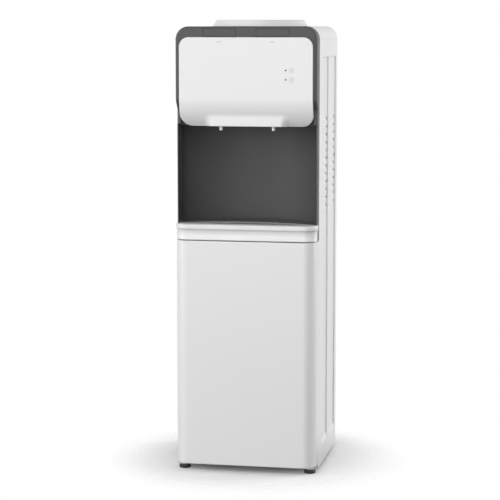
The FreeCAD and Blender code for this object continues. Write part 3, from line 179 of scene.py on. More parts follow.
def dress(thing, slot, body="cabinet", stands_for=(), ease=0.0, sharp=35, part=3):
    """Ease the edges that are left sharp, set the shading and the finish, and tie the piece to its body."""
    if ease > 0:
        modifier = thing.modifiers.new("eased edges", "BEVEL")
        modifier.width = ease
        modifier.segments = part
        modifier.limit_method = "ANGLE"
        modifier.angle_limit = math.radians(sharp)
        modifier.miter_outer = "MITER_ARC"
        modifier.harden_normals = False
        settle(thing)
    thing.data.shade_smooth()
    thing.data.set_sharp_from_angle(angle=math.radians(sharp))
    thing.modifiers.new("even shading", "WEIGHTED_NORMAL").keep_sharp = True
    thing.data.materials.clear()
    thing.data.materials.append(finish[slot])
    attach(thing, body)
    if stands_for:
        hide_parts(*stands_for)
    return thing


print("bench ready")

# %% [markdown]
# ## Shared effects
# Three effects turn up on nearly every surface: the fine skin that a mould or a spray gun leaves, slow
# drifts of tone over a large part, and dust that settles on what faces up. Each is a node group built once,
# so that a plastic, a paint and a metal can each have it at their own scale.
# %% Node groups


def effect(name, inputs, outputs):
    """Empty shader group with its sockets."""
    group = bpy.data.node_groups.new(name, "ShaderNodeTree")
    for label, kind, value in inputs:
        group.interface.new_socket(name=label, in_out="INPUT", socket_type=kind).default_value = value
    for label, kind in outputs:
        group.interface.new_socket(name=label, in_out="OUTPUT", socket_type=kind)
    return group, group.nodes.new("NodeGroupInput"), group.nodes.new("NodeGroupOutput")


def maths(tree, operation, one, two):
    """Math node whose inputs are sockets or numbers."""
    node = tree.nodes.new("ShaderNodeMath")
    node.operation = operation
    for socket, value in zip(node.inputs, (one, two)):
        if isinstance(value, (int, float)):
            socket.default_value = value
        else:
            tree.links.new(value, socket)
    return node.outputs[0]


def blended(tree, factor, one, two, kind="MIX"):
    """Colour mix whose inputs are sockets or colours."""
    node = tree.nodes.new("ShaderNodeMix")
    node.data_type = "RGBA"
    node.blend_type = kind
    for socket, value in zip((node.inputs[0], node.inputs[6], node.inputs[7]), (factor, one, two)):
        if hasattr(value, "is_linked"):
            tree.links.new(value, socket)
        else:
            socket.default_value = value
    return node.outputs[2]


def noise(tree, scale, detail=2.0, rough=0.5, stretch=None):
    """Noise over the part's own coordinates, in cells per metre."""
    place = tree.nodes.new("ShaderNodeTexCoord").outputs["Object"]
    if stretch:
        mapping = tree.nodes.new("ShaderNodeMapping")
        mapping.inputs["Scale"].default_value = stretch
        tree.links.new(place, mapping.inputs["Vector"])
        place = mapping.outputs["Vector"]
    node = tree.nodes.new("ShaderNodeTexNoise")
    node.inputs["Detail"].default_value = detail
    node.inputs["Roughness"].default_value = rough
    if isinstance(scale, (int, float)):
        node.inputs["Scale"].default_value = scale
    else:
        tree.links.new(scale, node.inputs["Scale"])
    tree.links.new(place, node.inputs["Vector"])
    return node.outputs["Fac"]


def mould_skin_group():
    """Fine pebbled skin with a slower waviness under it."""
    group, given, result = effect("mould_skin", [("Grain", "NodeSocketFloat", 900.0),
                                                 ("Depth", "NodeSocketFloat", 0.5),
                                                 ("Wave", "NodeSocketFloat", 0.3)],
                                  [("Height", "NodeSocketFloat")])
    pebbles = maths(group, "MULTIPLY", noise(group, given.outputs["Grain"], 3.0, 0.6), given.outputs["Depth"])
    waves = maths(group, "MULTIPLY", noise(group, 14.0, 1.0), given.outputs["Wave"])
    group.links.new(maths(group, "ADD", pebbles, waves), result.inputs["Height"])
    return group


def tone_drift_group():
    """Slow change of tone over a part, and a finer mottle that shows close up."""
    group, given, result = effect("tone_drift", [("Color", "NodeSocketColor", (0.8, 0.8, 0.8, 1)),
                                                 ("Other", "NodeSocketColor", (0.7, 0.7, 0.7, 1)),
                                                 ("Amount", "NodeSocketFloat", 0.5),
                                                 ("Spread", "NodeSocketFloat", 5.0)],
                                  [("Color", "NodeSocketColor"), ("Mask", "NodeSocketFloat")])
    slow = noise(group, given.outputs["Spread"], 2.0)
    fine = noise(group, 160.0, 3.0, 0.65)
    mask = maths(group, "MULTIPLY", maths(group, "MULTIPLY", slow, fine), 2.0)
    amount = maths(group, "MULTIPLY", mask, given.outputs["Amount"])
    colour = blended(group, amount, given.outputs["Color"], given.outputs["Other"])
    group.links.new(colour, result.inputs["Color"])
    group.links.new(mask, result.inputs["Mask"])
    return group


def settled_dust_group():
    """Dust on what faces up, in patches."""
    group, given, result = effect("settled_dust", [("Color", "NodeSocketColor", (0.8, 0.8, 0.8, 1)),
                                                   ("Dust", "NodeSocketColor", (0.62, 0.61, 0.59, 1)),
                                                   ("Amount", "NodeSocketFloat", 0.3),
                                                   ("Roughness", "NodeSocketFloat", 0.4)],
                                  [("Color", "NodeSocketColor"), ("Roughness", "NodeSocketFloat")])
    facing = group.nodes.new("ShaderNodeSeparateXYZ")
    group.links.new(group.nodes.new("ShaderNodeNewGeometry").outputs["Normal"], facing.inputs[0])
    up = maths(group, "MAXIMUM", facing.outputs["Z"], 0.0)
    patches = maths(group, "MULTIPLY", noise(group, 60.0, 4.0, 0.7), maths(group, "MULTIPLY", up, up))
    amount = maths(group, "MULTIPLY", patches, given.outputs["Amount"])
    dusty = blended(group, amount, given.outputs["Color"], given.outputs["Dust"])
    group.links.new(dusty, result.inputs["Color"])
    rougher = maths(group, "ADD", given.outputs["Roughness"], maths(group, "MULTIPLY", amount, 0.4))
    group.links.new(rougher, result.inputs["Roughness"])
    return group


mould_skin = mould_skin_group()
tone_drift = tone_drift_group()
settled_dust = settled_dust_group()
print("effects:", ", ".join(group.name for group in (mould_skin, tone_drift, settled_dust)))

# %% [markdown]
# ## Finishes
# The white parts are glossy moulded plastic, the side panels are sprayed steel, and the dark surround is a
# charcoal plastic with a fine spark-eroded grain. The machine space behind holds black enamel, bare zinc,
# copper, foam and felt. One function builds every material, and each slot is a call with its values.
# %% Finish families
finish = {}


def begin_finish(name, roughness, metallic=0.0):
    material = bpy.data.materials.new(name)
    material.use_nodes = True
    tree = material.node_tree
    shader = tree.nodes["Principled BSDF"]
    shader.inputs["Roughness"].default_value = roughness
    shader.inputs["Metallic"].default_value = metallic
    finish[name] = material
    return tree, shader


def placed(tree, group, **values):
    """A shared effect in a material, with its own values or links."""
    node = tree.nodes.new("ShaderNodeGroup")
    node.node_tree = group
    for label, value in values.items():
        if hasattr(value, "is_linked"):
            tree.links.new(value, node.inputs[label])
        else:
            node.inputs[label].default_value = value
    return node


def raised(tree, shader, height, distance, strength=1.0):
    bump = tree.nodes.new("ShaderNodeBump")
    bump.inputs["Strength"].default_value = strength
    bump.inputs["Distance"].default_value = distance
    tree.links.new(height, bump.inputs["Height"])
    tree.links.new(bump.outputs["Normal"], shader.inputs["Normal"])


def grey(value, warm=0.0):
    return (value * (1 + warm), value, value * (1 - warm), 1)


def surfaced(name, colour, roughness, other=None, drift=0.25, dust=0.15, grain=900.0, depth=0.5, wave=0.3,
             bump=0.06, metallic=0.0):
    """Moulded, sprayed or rolled surface: drift of tone, settled dust, and its own fine skin."""
    tree, shader = begin_finish(name, roughness, metallic)
    toned = placed(tree, tone_drift, Color=colour, Other=other or tuple(c * 0.9 for c in colour[:3]) + (1,),
                   Amount=drift)
    dusted = placed(tree, settled_dust, Color=toned.outputs["Color"], Amount=dust, Roughness=roughness)
    skin = placed(tree, mould_skin, Grain=grain, Depth=depth, Wave=wave)
    tree.links.new(dusted.outputs["Color"], shader.inputs["Base Color"])
    tree.links.new(dusted.outputs["Roughness"], shader.inputs["Roughness"])
    raised(tree, shader, skin.outputs["Height"], bump * MM)
    return tree, shader


# %% Finishes of the outside
surfaced("white_plastic", grey(0.80), 0.30, drift=0.12, dust=0.10, grain=1400.0, depth=0.3)
surfaced("side_paint", grey(0.84), 0.38, drift=0.10, dust=0.10, grain=700.0, depth=0.7, bump=0.10)
for name in ("dark_plastic", "dark_gloss"):
    tree, shader = surfaced(name, grey(0.060), 0.50, other=grey(0.074), drift=0.5, dust=0.12, grain=1800.0,
                            depth=0.7)
    shader.inputs["Specular IOR Level"].default_value = 0.36
surfaced("grey_plastic", grey(0.42), 0.40, drift=0.3, dust=0.2, grain=1300.0, depth=0.5)
surfaced("tap_plastic", grey(0.86), 0.22, drift=0.15, dust=0.1, grain=1500.0, depth=0.3)
surfaced("rubber", grey(0.020), 0.70, other=grey(0.035), drift=0.8, dust=0.35, grain=1200.0, depth=0.9)
surfaced("lens", grey(0.006), 0.60, other=grey(0.010), drift=0.3, dust=0.05, grain=1500.0, depth=0.1)
print("outside finishes:", len(finish))

# %% Finishes of the inside and the back
surfaced("liner_plastic", grey(0.72), 0.36, drift=0.25, dust=0.2, grain=1000.0, depth=0.4)
surfaced("gasket_rubber", grey(0.50), 0.60, drift=0.4, dust=0.2, grain=1200.0, depth=0.6)
surfaced("back_sheet", grey(0.46), 0.42, drift=0.5, dust=0.35, grain=600.0, depth=0.6, metallic=0.4)
surfaced("black_paint", grey(0.022), 0.32, other=grey(0.045), drift=0.8, dust=0.55, grain=500.0, depth=0.8)
surfaced("zinc_steel", (0.60, 0.61, 0.63, 1), 0.38, drift=0.8, dust=0.2, grain=450.0, depth=0.5, metallic=0.9)
surfaced("stainless", (0.66, 0.65, 0.64, 1), 0.24, drift=0.5, dust=0.1, grain=700.0, depth=0.3, metallic=1.0)
surfaced("copper", (0.72, 0.36, 0.22, 1), 0.30, other=(0.40, 0.17, 0.10, 1), drift=0.9, dust=0.2, grain=500.0,
         depth=0.4, metallic=1.0)
surfaced("foam", (0.78, 0.72, 0.52, 1), 0.85, drift=0.7, dust=0.2, grain=420.0, depth=2.5, bump=0.4)
surfaced("felt", grey(0.34), 0.95, other=grey(0.2), drift=0.9, dust=0.3, grain=900.0, depth=2.5, bump=0.5)
surfaced("circuit_board", (0.03, 0.16, 0.06, 1), 0.35, drift=0.4, dust=0.2, grain=900.0, depth=0.3)
surfaced("hose", (0.72, 0.72, 0.70, 1), 0.35, drift=0.3, dust=0.2, grain=900.0, depth=0.3)
print("all finishes:", ", ".join(sorted(finish)))

# %% [markdown]
# ## Door
# The door is one deep moulding whose two front corners are drawn round a large radius, with a softly eased
# rim above and below. Stacking one plan outline at many heights, a little inset near both ends, gives the
# corner radius and the edge radius in one skin. The liner's recess and the finger pocket are then cut out.
# %% Plan outlines of the front


def front_plan(grow, back, aside=None, steps=14):
    """Plan of the door and the ledge, grown to the front and aside, from right rear to left rear."""
    aside = grow if aside is None else aside
    x = HALF + aside
    y = door_lo.y - grow
    wide, deep = FRONT_CORNER + aside, FRONT_CORNER + grow
    right = arc((x - wide, y + deep), (wide, deep), 0, -90, steps)
    left = arc((-x + wide, y + deep), (wide, deep), -90, -180, steps)
    return [(x, back)] + right + left + [(-x, back)]


def at_height(outline, z):
    return [(x, y, z) for x, y in outline]


# %% Door


def tool_block(low, high, radius=0.0):
    bench = Bench()
    bench.block(low, high, radius)
    return bench.plain("tool")


def make_door():
    bench = Bench()
    levels = eased(door_lo.z, door_hi.z, 2.2 * MM, 5)
    bench.skin([at_height(front_plan(inset, door_hi.y + inset * 0.3), z) for z, inset in levels])
    door = bench.plain("door")
    liner_lo, liner_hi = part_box("door_liner")
    play = 0.3 * MM
    behind = door_hi.y + 5 * MM
    cut(door, tool_block((liner_lo.x - play, liner_lo.y - play, liner_lo.z - play),
                         (liner_hi.x + play, behind, liner_hi.z + play)))
    pocket_low, pocket_high = 335 * MM, 425 * MM
    cut(door, tool_block((-HALF - 5 * MM, door_hi.y - 14 * MM, pocket_low),
                         (-HALF + 9 * MM, behind, pocket_high), 3 * MM))
    return dress(door, "white_plastic", "door", ["door_shell"], ease=0.5 * MM, sharp=50)


door = make_door()
print("door:", len(door.data.polygons), "faces")

# %% [markdown]
# ## Ledge
# Between the door and the recess runs a white ledge. Its lip stands 2 mm proud of the door and rolls over a
# shallow cove, which is the line of shade across the front. The same plan outline is stacked again, this
# time with insets that draw the section: out at the foot, in along the cove, out under the lip and over it.
# At the two sides the cove runs out, so the outline takes a second inset there. The seat for the tray is
# part of the outline too, which needs no cut.
# %% Ledge and the outline of the tray
LIP_HEIGHT = 10 * MM
COVE = 3 * MM
LIP = door_lo.y - ledge_lo.y
PLATE_CORNER = 17 * MM
PLATE_SAG = 37 * MM
SEAT_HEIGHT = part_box("drip_tray")[1].z - 1.5 * MM
SEAT_GAP = 0.6 * MM
WELL_INSET = 9 * MM - SEAT_GAP


def bow_at(x, inset):
    """Depth of the grille's rear edge beside the middle line."""
    bow = (grille_hi.x ** 2 + PLATE_SAG ** 2) / (2 * PLATE_SAG)
    return grille_hi.y - bow + math.sqrt((bow - inset) ** 2 - x ** 2)


def tray_plan(inset, steps=24):
    """Outline of the grille: straight in front, rounded at two corners, bowed at the back."""
    x = grille_hi.x - inset
    y = grille_lo.y + inset
    r = min(PLATE_CORNER - inset, bow_at(x, inset) - y - MM)
    front = arc((-x + r, y + r), r, 180, 270, 8) + arc((x - r, y + r), r, 270, 360, 8)
    rear = [(x - 2 * x * k / steps) for k in range(steps + 1)]
    return front + [(u, bow_at(u, inset)) for u in rear]


def ledge_levels():
    """Heights with how far the section stands out to the front there, from the foot to the crown."""
    low, top = ledge_lo.z, ledge_hi.z
    under = top - LIP_HEIGHT
    foot = 1.0 * MM
    deepest = 523 * MM
    levels = [(low, -foot), (low + 0.3 * foot, -0.3 * foot), (low + foot, 0.0)]
    fall = deepest - low - foot
    levels += [(low + foot + fall * k / 6, -COVE * smooth_step(k / 6, 0, 1)) for k in range(1, 7)]
    for k in range(1, 9):
        a = math.radians(80 * k / 8)
        levels.append((deepest + (under - deepest) * math.sin(a), -COVE + (COVE + LIP) * (1 - math.cos(a))))
    crown = 3.0 * MM
    levels += [(under + 0.3 * MM, LIP - 0.3 * MM), (under + 1.0 * MM, LIP)]
    for k in range(7):
        a = math.pi / 2 * k / 6
        levels.append((top - crown + crown * math.sin(a), LIP - crown * (1 - math.cos(a))))
    return levels


def tray_tool():
    """Solid that makes the seat and the well for the tray and its grille."""
    levels = [(ledge_lo.z + 3.1 * MM, WELL_INSET), (SEAT_HEIGHT, WELL_INSET),
              (SEAT_HEIGHT, -SEAT_GAP), (ledge_hi.z + 20 * MM, -SEAT_GAP)]
    bench = Bench()
    bench.skin([at_height(tray_plan(grow), z) for z, grow in levels])
    return bench.plain("tool")


def ledge_ring(z, grow, inset):
    """Plan of the ledge at a height: its outside, and the edge of the tray's seat or well."""
    outside = front_plan(grow, CHEEK_FRONT, grow if z > ledge_hi.z - LIP_HEIGHT else max(grow, -0.2 * MM))
    x = grille_hi.x - inset
    y, r = grille_lo.y + inset, PLATE_CORNER - inset
    inside = arc((-x + r, y + r), r, 180, 270, 8) + arc((x - r, y + r), r, 270, 360, 8)
    return at_height(outside + [(-x, CHEEK_FRONT)] + inside + [(x, CHEEK_FRONT)], z)


def make_ledge():
    levels = ledge_levels()
    rings = [ledge_ring(z, grow, WELL_INSET) for z, grow in levels if z < SEAT_HEIGHT]
    rings += [ledge_ring(SEAT_HEIGHT, LIP, WELL_INSET), ledge_ring(SEAT_HEIGHT, LIP, -SEAT_GAP)]
    rings += [ledge_ring(z, grow, -SEAT_GAP) for z, grow in levels if z > SEAT_HEIGHT]
    bench = Bench()
    bench.skin(rings)
    reach = grille_hi.x - WELL_INSET + MM
    bench.block((-reach, grille_lo.y + WELL_INSET - MM, ledge_lo.z),
                (reach, CHEEK_FRONT, ledge_lo.z + 3 * MM), 0.3 * MM)
    return dress(bench.plain("ledge_moulding"), "white_plastic", stands_for=["ledge"], ease=0.3 * MM,
                 sharp=60, part=2)


ledge = make_ledge()
print("ledge:", len(ledge.data.polygons), "faces")

# %% [markdown]
# ## Grille
# The drip grille is a light grey moulding: a flat rim with a bowed rear edge, narrow bars from front to
# back, and a ring under each nozzle where a cup stands. Bars are separate eased blocks, so each catches its
# own thin highlight, which a slotted plate with sharp cuts doesn't.
# %% Grille


def make_grille():
    bench = Bench()
    low, top = grille_lo.z, grille_hi.z
    soft = 0.6 * MM
    margin = 9 * MM
    section = [(0, low), (0, top - soft), (0.3 * soft, top - 0.3 * soft), (soft, top), (margin - soft, top),
               (margin - 0.3 * soft, top - 0.3 * soft), (margin, top - soft), (margin, low)]
    bench.skin([at_height(tray_plan(inset), z) for inset, z in section], joined=True)
    pitch, bar = 6 * MM, 3.4 * MM
    count = int((grille_hi.x - margin) / pitch)
    for step in range(-count, count):
        x = (step + 0.5) * pitch
        rear = bow_at(abs(x) + bar, margin) + MM
        bench.block((x - bar / 2, grille_lo.y + margin - MM, low + 0.2 * MM),
                    (x + bar / 2, rear, top - 0.3 * MM), 0.5 * MM)
    inner, outer = 16.5 * MM, 19 * MM
    ring = [(inner, low + 0.1 * MM), (inner, top), (inner + 0.5 * MM, top),
            (outer - 0.5 * MM, top), (outer, top - 0.4 * MM), (outer, low + 0.1 * MM)]
    nozzle_lo, nozzle_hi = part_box("nozzles")
    for side in (-1, 1):
        x = side * (nozzle_hi.x - 6 * MM)
        bench.lathe(ring, (x, (nozzle_lo.y + nozzle_hi.y) / 2), 64)
    return dress(bench.plain("grille"), "grey_plastic", "drip_grille", ["drip_grille"], sharp=40)


grille = make_grille()
print("grille:", len(grille.data.polygons), "faces")

# %% [markdown]
# ## Recess
# Behind the ledge stands a dark moulding with one big curved wall, so that a jug fits under the nozzles. In
# plan it is a closed C: a rounded nose at each side, a short straight cheek, and a 180 mm radius across the
# back. One closed outline pulled straight up makes it, and a floor and a ceiling close it.
# %% Recess
WALL_RADIUS = 180 * MM
CHEEK = 3.6 * MM
SHELL_WALL = 3 * MM
wall_centre = 3 * MM - WALL_RADIUS
behind_side = HALF - 2.6 * MM


def wall_at(x, radius):
    return wall_centre + math.sqrt(radius ** 2 - x ** 2)


def recess_line(grow, front, steps=40):
    """Recess wall from right to left, with the fillet where the curved wall meets the cheeks."""
    x = HALF - CHEEK + grow
    radius = WALL_RADIUS + grow
    fillet = 9 * MM
    knee = Vector((x, wall_at(x, radius)))
    start = Vector((x, knee.y - fillet))
    end = Vector((x - fillet, wall_at(x - fillet, radius)))
    bend = [start * (1 - t) ** 2 + knee * 2 * t * (1 - t) + end * t * t for t in [k / 6 for k in range(7)]]
    right = [(x, front)] + [tuple(p) for p in bend]
    limit = math.asin(end.x / radius)
    angles = [limit - 2 * limit * k / steps for k in range(1, steps)]
    middle = [(radius * math.sin(a), wall_centre + radius * math.cos(a)) for a in angles]
    return right + middle + [(-px, py) for px, py in reversed(right)]


def make_recess():
    nose = (2.2 * MM, 6 * MM)
    inner_nose = 1.2 * MM
    right_nose = [(HALF, side_lo.y)] + arc((HALF - nose[0], CHEEK_FRONT + nose[1]), nose, 0, -90, 8)
    right_nose += arc((HALF - CHEEK + inner_nose, CHEEK_FRONT + inner_nose), inner_nose, -90, -180, 3)[1:]
    inside = recess_line(0.0, CHEEK_FRONT + 3 * MM)
    left_nose = [(-x, y) for x, y in reversed(right_nose)]
    steps = 40
    outer = WALL_RADIUS + SHELL_WALL
    behind = [(-behind_side + 2 * behind_side * k / steps) for k in range(steps + 1)]
    rear = [(-behind_side, side_lo.y)] + [(x, wall_at(x, outer)) for x in behind] + [(behind_side, side_lo.y)]
    plan = right_nose + inside + left_nose + rear
    bench = Bench()
    bench.skin([at_height(plan, z) for z in (shell_lo.z, shell_hi.z)])
    cheeks = bench.plain("recess_wall")
    bench = Bench()
    floor_z = ledge_hi.z - 8 * MM
    bench.skin([at_height(recess_line(0.5 * MM, CHEEK_FRONT), z) for z in (floor_z, ledge_hi.z)])
    floor = bench.plain("recess_floor")
    cut(floor, tray_tool())
    bench = Bench()
    ceiling_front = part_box("control_panel")[1].y + 0.4 * MM
    bench.skin([at_height(recess_line(0.5 * MM, ceiling_front), z)
                for z in (shell_hi.z - SHELL_WALL, shell_hi.z)])
    ceiling = bench.plain("recess_ceiling")
    return [dress(cheeks, "dark_plastic", stands_for=["front_shell"], sharp=30, ease=0.25 * MM, part=2),
            dress(floor, "dark_plastic", stands_for=["front_shell"], sharp=40, ease=0.3 * MM, part=2),
            dress(ceiling, "dark_plastic", stands_for=["front_shell"], sharp=40)]


recess = make_recess()
print("recess:", sum(len(piece.data.polygons) for piece in recess), "faces")

# %% [markdown]
# ## Hood
# The dark hood frames the control panel. Its outer edge is rounded all the way up one side, round the top
# corners and down the other, and its face steps back in a soft S where the panel rolls away below. A
# section is carried along that path, and the face between the two sides follows the roll. A wall thickness
# comes from one modifier, and the slots for the two buttons are cut last.
# %% Hood
ROLL_RISE = 60 * MM
ROLL_RADIUS = 85 * MM
PANEL_THICK = 4.5 * MM
STEP_LOW, STEP_HIGH = 788 * MM, 815 * MM
roll_z = panel_lo.z + ROLL_RISE
roll_y = panel_lo.y + ROLL_RADIUS


def roll_at(z, radius):
    """Depth of the rolled face at a height: flat above the roll's start, an arc below it."""
    drop = max(0.0, roll_z - z)
    return roll_y - math.sqrt(radius ** 2 - drop ** 2)


def hood_face(z):
    """Depth of the hood's margin: full above, cheek depth below, with a soft S between."""
    t = smooth_step(z, STEP_LOW, STEP_HIGH)
    return CHEEK_FRONT + (hood_lo.y - CHEEK_FRONT) * t


def hood_edge(z):
    """Radius of the hood's outer edge at a height."""
    return (8 - 3 * smooth_step(z, STEP_LOW, STEP_HIGH)) * MM


def hood_path():
    """Outer outline of the hood's right half, from below to the middle line: point and outward direction."""
    heights = [hood_lo.z, 770 * MM, 778 * MM] + [785 * MM + 3 * MM * k for k in range(12)]
    heights += [825 * MM, 832 * MM, 860 * MM, 900 * MM]
    path = [((HALF, z), (1, 0)) for z in heights]
    centre = (HALF - TOP_CORNER, hood_hi.z - TOP_CORNER)
    for k in range(13):
        a = math.radians(90 * k / 12)
        path.append(((centre[0] + TOP_CORNER * math.cos(a), centre[1] + TOP_CORNER * math.sin(a)),
                     (math.cos(a), math.sin(a))))
    for x in (95 * MM, 50 * MM, 0.0):
        path.append(((x, hood_hi.z), (0, 1)))
    return path


def make_hood():
    margin = 8.6 * MM
    rows = []
    for (x, z), (nx, nz) in hood_path():
        inner = (x - nx * margin, z - nz * margin)
        edge = hood_edge(z)
        front = hood_face(z)
        section = [(x, side_lo.y, z), (x, (side_lo.y + front + edge) / 2, z)]
        for k in range(7):
            a = math.pi / 2 * k / 6
            back = edge * (1 - math.cos(a)) * min(1.0, 5 * MM / edge)
            section.append((x - nx * back, front + edge * (1 - math.sin(a)), z - nz * back))
        section.append((inner[0], front, inner[1]))
        level = inner[1]
        depth = front
        if level < roll_z:
            depth = max(roll_at(level, ROLL_RADIUS - PANEL_THICK - 0.4 * MM), hood_face(level))
        section.append((inner[0], depth, inner[1]))
        section.append((0.0, depth, inner[1]))
        rows.append(section)
    bench = Bench()
    for side in (-1, 1):
        bench.skin([[(side * x, y, z) for x, y, z in row] for row in rows], around=False)
    hood = bench.plain("hood_shell")
    thicken(hood, 2.4 * MM)
    for name in ("button_hot", "button_cold"):
        low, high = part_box(name)
        rim, gap = 2 * MM, 0.55 * MM
        cut(hood, tool_block((low.x + rim - gap, hood_lo.y - 5 * MM, panel_hi.z - 2 * MM),
                             (high.x - rim + gap, hood_lo.y + 8 * MM, high.z - MM + gap)))
    return dress(hood, "dark_plastic", stands_for=["hood"], sharp=32)


hood = make_hood()
print("hood:", len(hood.data.polygons), "faces")

# %% [markdown]
# ## Buttons
# Each button is a dark key flush with the band above the panel. Behind its face it has the flange that stops
# it and the stem that pushes the tap lever, and all three move together.
# %% Buttons


def make_button(name):
    low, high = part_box(name)
    rim = 2 * MM
    middle = (low.z + high.z) / 2
    centre = (low.x + high.x) / 2
    bench = Bench()
    bench.block((low.x + rim, low.y, low.z + 0.1 * MM), (high.x - rim, low.y + 6 * MM, high.z - MM),
                0.5 * MM, 3)
    bench.block((low.x, low.y + 2.9 * MM, low.z + 0.1 * MM), (high.x, low.y + 6 * MM, high.z), 0.3 * MM)
    bench.block((centre - 4 * MM, low.y + 5 * MM, middle - 3 * MM),
                (centre + 4 * MM, high.y, middle + 3 * MM), 0.3 * MM)
    return dress(bench.plain(name + "_key"), "dark_gloss", name, [name], sharp=40)


keys = [make_button(name) for name in ("button_hot", "button_cold")]
print("buttons:", len(keys))

# %% [markdown]
# ## Control panel
# The white panel is the face of the machine. Its upper half is flat, its lower half rolls back round a
# 85 mm radius, and in the middle a spout shroud stays forward and melts into the roll on both sides. Such a
# blend is easiest as a height field: a net of rows and columns whose depth is worked out at each knot, with
# the knots close together where the form turns. A ring of rounding and a second net behind close the part.
# %% Control panel
SHROUD_HALF = 75 * MM
SHROUD_BLEND = 20 * MM
shroud_y = panel_lo.y + 8 * MM
PANEL_TOP_CORNER = 21 * MM
PANEL_LOW_CORNER = 26 * MM


def panel_depth(x, z):
    """Depth of the panel's face: the roll, with the shroud held forward in the middle."""
    rolled = roll_at(z, ROLL_RADIUS)
    held = 1 - smooth_step(abs(x), SHROUD_HALF - 1 * MM, SHROUD_HALF + SHROUD_BLEND)
    soft = 0.8 * MM
    gap = rolled - shroud_y
    lift = 0.5 * (gap + math.sqrt(gap * gap + soft * soft)) - 0.5 * soft * max(0.0, 1 - abs(gap) / (4 * soft))
    return rolled - held * max(0.0, lift)


def panel_width(z, inset):
    """Half width of the rounded outline at a height."""
    x = panel_hi.x - inset
    for corner, centre in ((PANEL_LOW_CORNER, panel_lo.z + PANEL_LOW_CORNER),
                           (PANEL_TOP_CORNER, panel_hi.z - PANEL_TOP_CORNER)):
        beyond = (centre - z) if corner == PANEL_LOW_CORNER else (z - centre)
        if beyond > 0:
            r = corner - inset
            return x - r + math.sqrt(max(0.0, r * r - beyond * beyond))
    return x


def outline_direction(x, z):
    """Outward direction of the rounded outline beside a point."""
    low = panel_lo.z + PANEL_LOW_CORNER
    high = panel_hi.z - PANEL_TOP_CORNER
    corner = PANEL_LOW_CORNER if z < low else PANEL_TOP_CORNER
    centre = Vector((min(abs(x), panel_hi.x - corner), min(max(z, low), high)))
    out = Vector((abs(x), z)) - centre
    out.normalize()
    return (math.copysign(out.x, x), out.y)


def panel_rows(inset):
    low_r = PANEL_LOW_CORNER - inset
    top_r = PANEL_TOP_CORNER - inset
    low = panel_lo.z + PANEL_LOW_CORNER
    high = panel_hi.z - PANEL_TOP_CORNER
    rows = [low - low_r * math.cos(math.radians(9 * k)) for k in range(11)]
    z = rows[-1]
    while z < roll_z:
        z += 1.0 * MM if 772 * MM < z < 788 * MM else 3.0 * MM
        rows.append(min(z, roll_z))
    rows += [roll_z + (high - roll_z) * k / 5 for k in range(1, 6)]
    return rows + [high + top_r * math.sin(math.radians(9 * k)) for k in range(1, 11)]


def panel_columns(width, split):
    inner = [0.0, 25 * MM, 50 * MM, 66 * MM, 71 * MM]
    inner += [73 * MM + 1.6 * MM * k for k in range(15)] + [split]
    outer = [split + (width - split) * t for t in (0.3, 0.55, 0.75, 0.9, 1.0)]
    half = inner + outer
    return [-x for x in reversed(half[1:])] + half


def make_panel():
    round_off = 1.6 * MM
    split = 103 * MM
    rows = panel_rows(round_off)
    net = [[(x, z) for x in panel_columns(panel_width(z, round_off), split)] for z in rows]
    bench = Bench()
    bench.skin([[(x, panel_depth(x, z), z) for x, z in line] for line in net], around=False)
    behind = [[(x, panel_depth(x, z) + PANEL_THICK, z) for x, z in line] for line in net]
    bench.skin(behind, around=False)

    def border(grid):
        right = [line[-1] for line in grid]
        left = [line[0] for line in grid]
        return grid[0] + right[1:] + grid[-1][::-1][1:] + left[::-1][1:-1]

    edge = border(net)
    rings = []
    for turn in (0, 22.5, 45, 67.5, 90):
        a = math.radians(turn)
        ring = []
        for x, z in edge:
            nx, nz = outline_direction(x, z)
            out = round_off * math.sin(a)
            ring.append((x + nx * out, panel_depth(x, z) + round_off * (1 - math.cos(a)), z + nz * out))
        rings.append(ring)
    rings.append([(x, y + PANEL_THICK - 1.2 * round_off, z) for x, y, z in rings[-1]])
    rings.append([(x, panel_depth(x, z) + PANEL_THICK, z) for x, z in edge])
    bench.skin(rings, ends=False)
    plate = bench.plain("panel_face")
    print("panel net:", len(rows), "rows of", len(net[0]), "knots")
    return dress(plate, "white_plastic", stands_for=["control_panel"], sharp=50)


def make_shroud_floor():
    """The thin floor under the shroud, which the nozzles pass through."""
    low = panel_lo.z
    reach = SHROUD_HALF + SHROUD_BLEND
    xs = [-reach + 2 * reach * k / 40 for k in range(41)]
    rear = roll_at(low, ROLL_RADIUS - PANEL_THICK)
    line = [(x, panel_depth(x, low + MM) + 2 * MM) for x in xs] + [(x, rear) for x in reversed(xs)]
    bench = Bench()
    bench.skin([at_height(line, z) for z in (low + 0.3 * MM, low + 3 * MM)])
    return dress(bench.plain("shroud_floor"), "white_plastic", stands_for=["control_panel"])


def mark_bar(bench, centre, length, width, turn=0.0):
    """Printed bar with round ends, standing a hair proud of the panel's face."""
    face = panel_lo.y
    half = (length - width) / 2
    ends = arc((half, 0), width / 2, -90, 90, 8) + arc((-half, 0), width / 2, 90, 270, 8)
    c, s = math.cos(math.radians(turn)), math.sin(math.radians(turn))
    outline = [(centre[0] + u * c - v * s, centre[1] + u * s + v * c) for u, v in ends]
    bench.skin([[(x, y, z) for x, z in outline] for y in (face - 0.06 * MM, face + 0.2 * MM)])


def mark_ring(bench, centre, radius, line):
    """Printed ring."""
    face = panel_lo.y
    rings = []
    for r, y in ((radius, face + 0.2 * MM), (radius, face - 0.06 * MM), (radius - line, face - 0.06 * MM),
                 (radius - line, face + 0.2 * MM)):
        rings.append([(x, y, z) for x, z in arc(centre, r, 0, 360, 48)[:-1]])
    bench.skin(rings, joined=True)


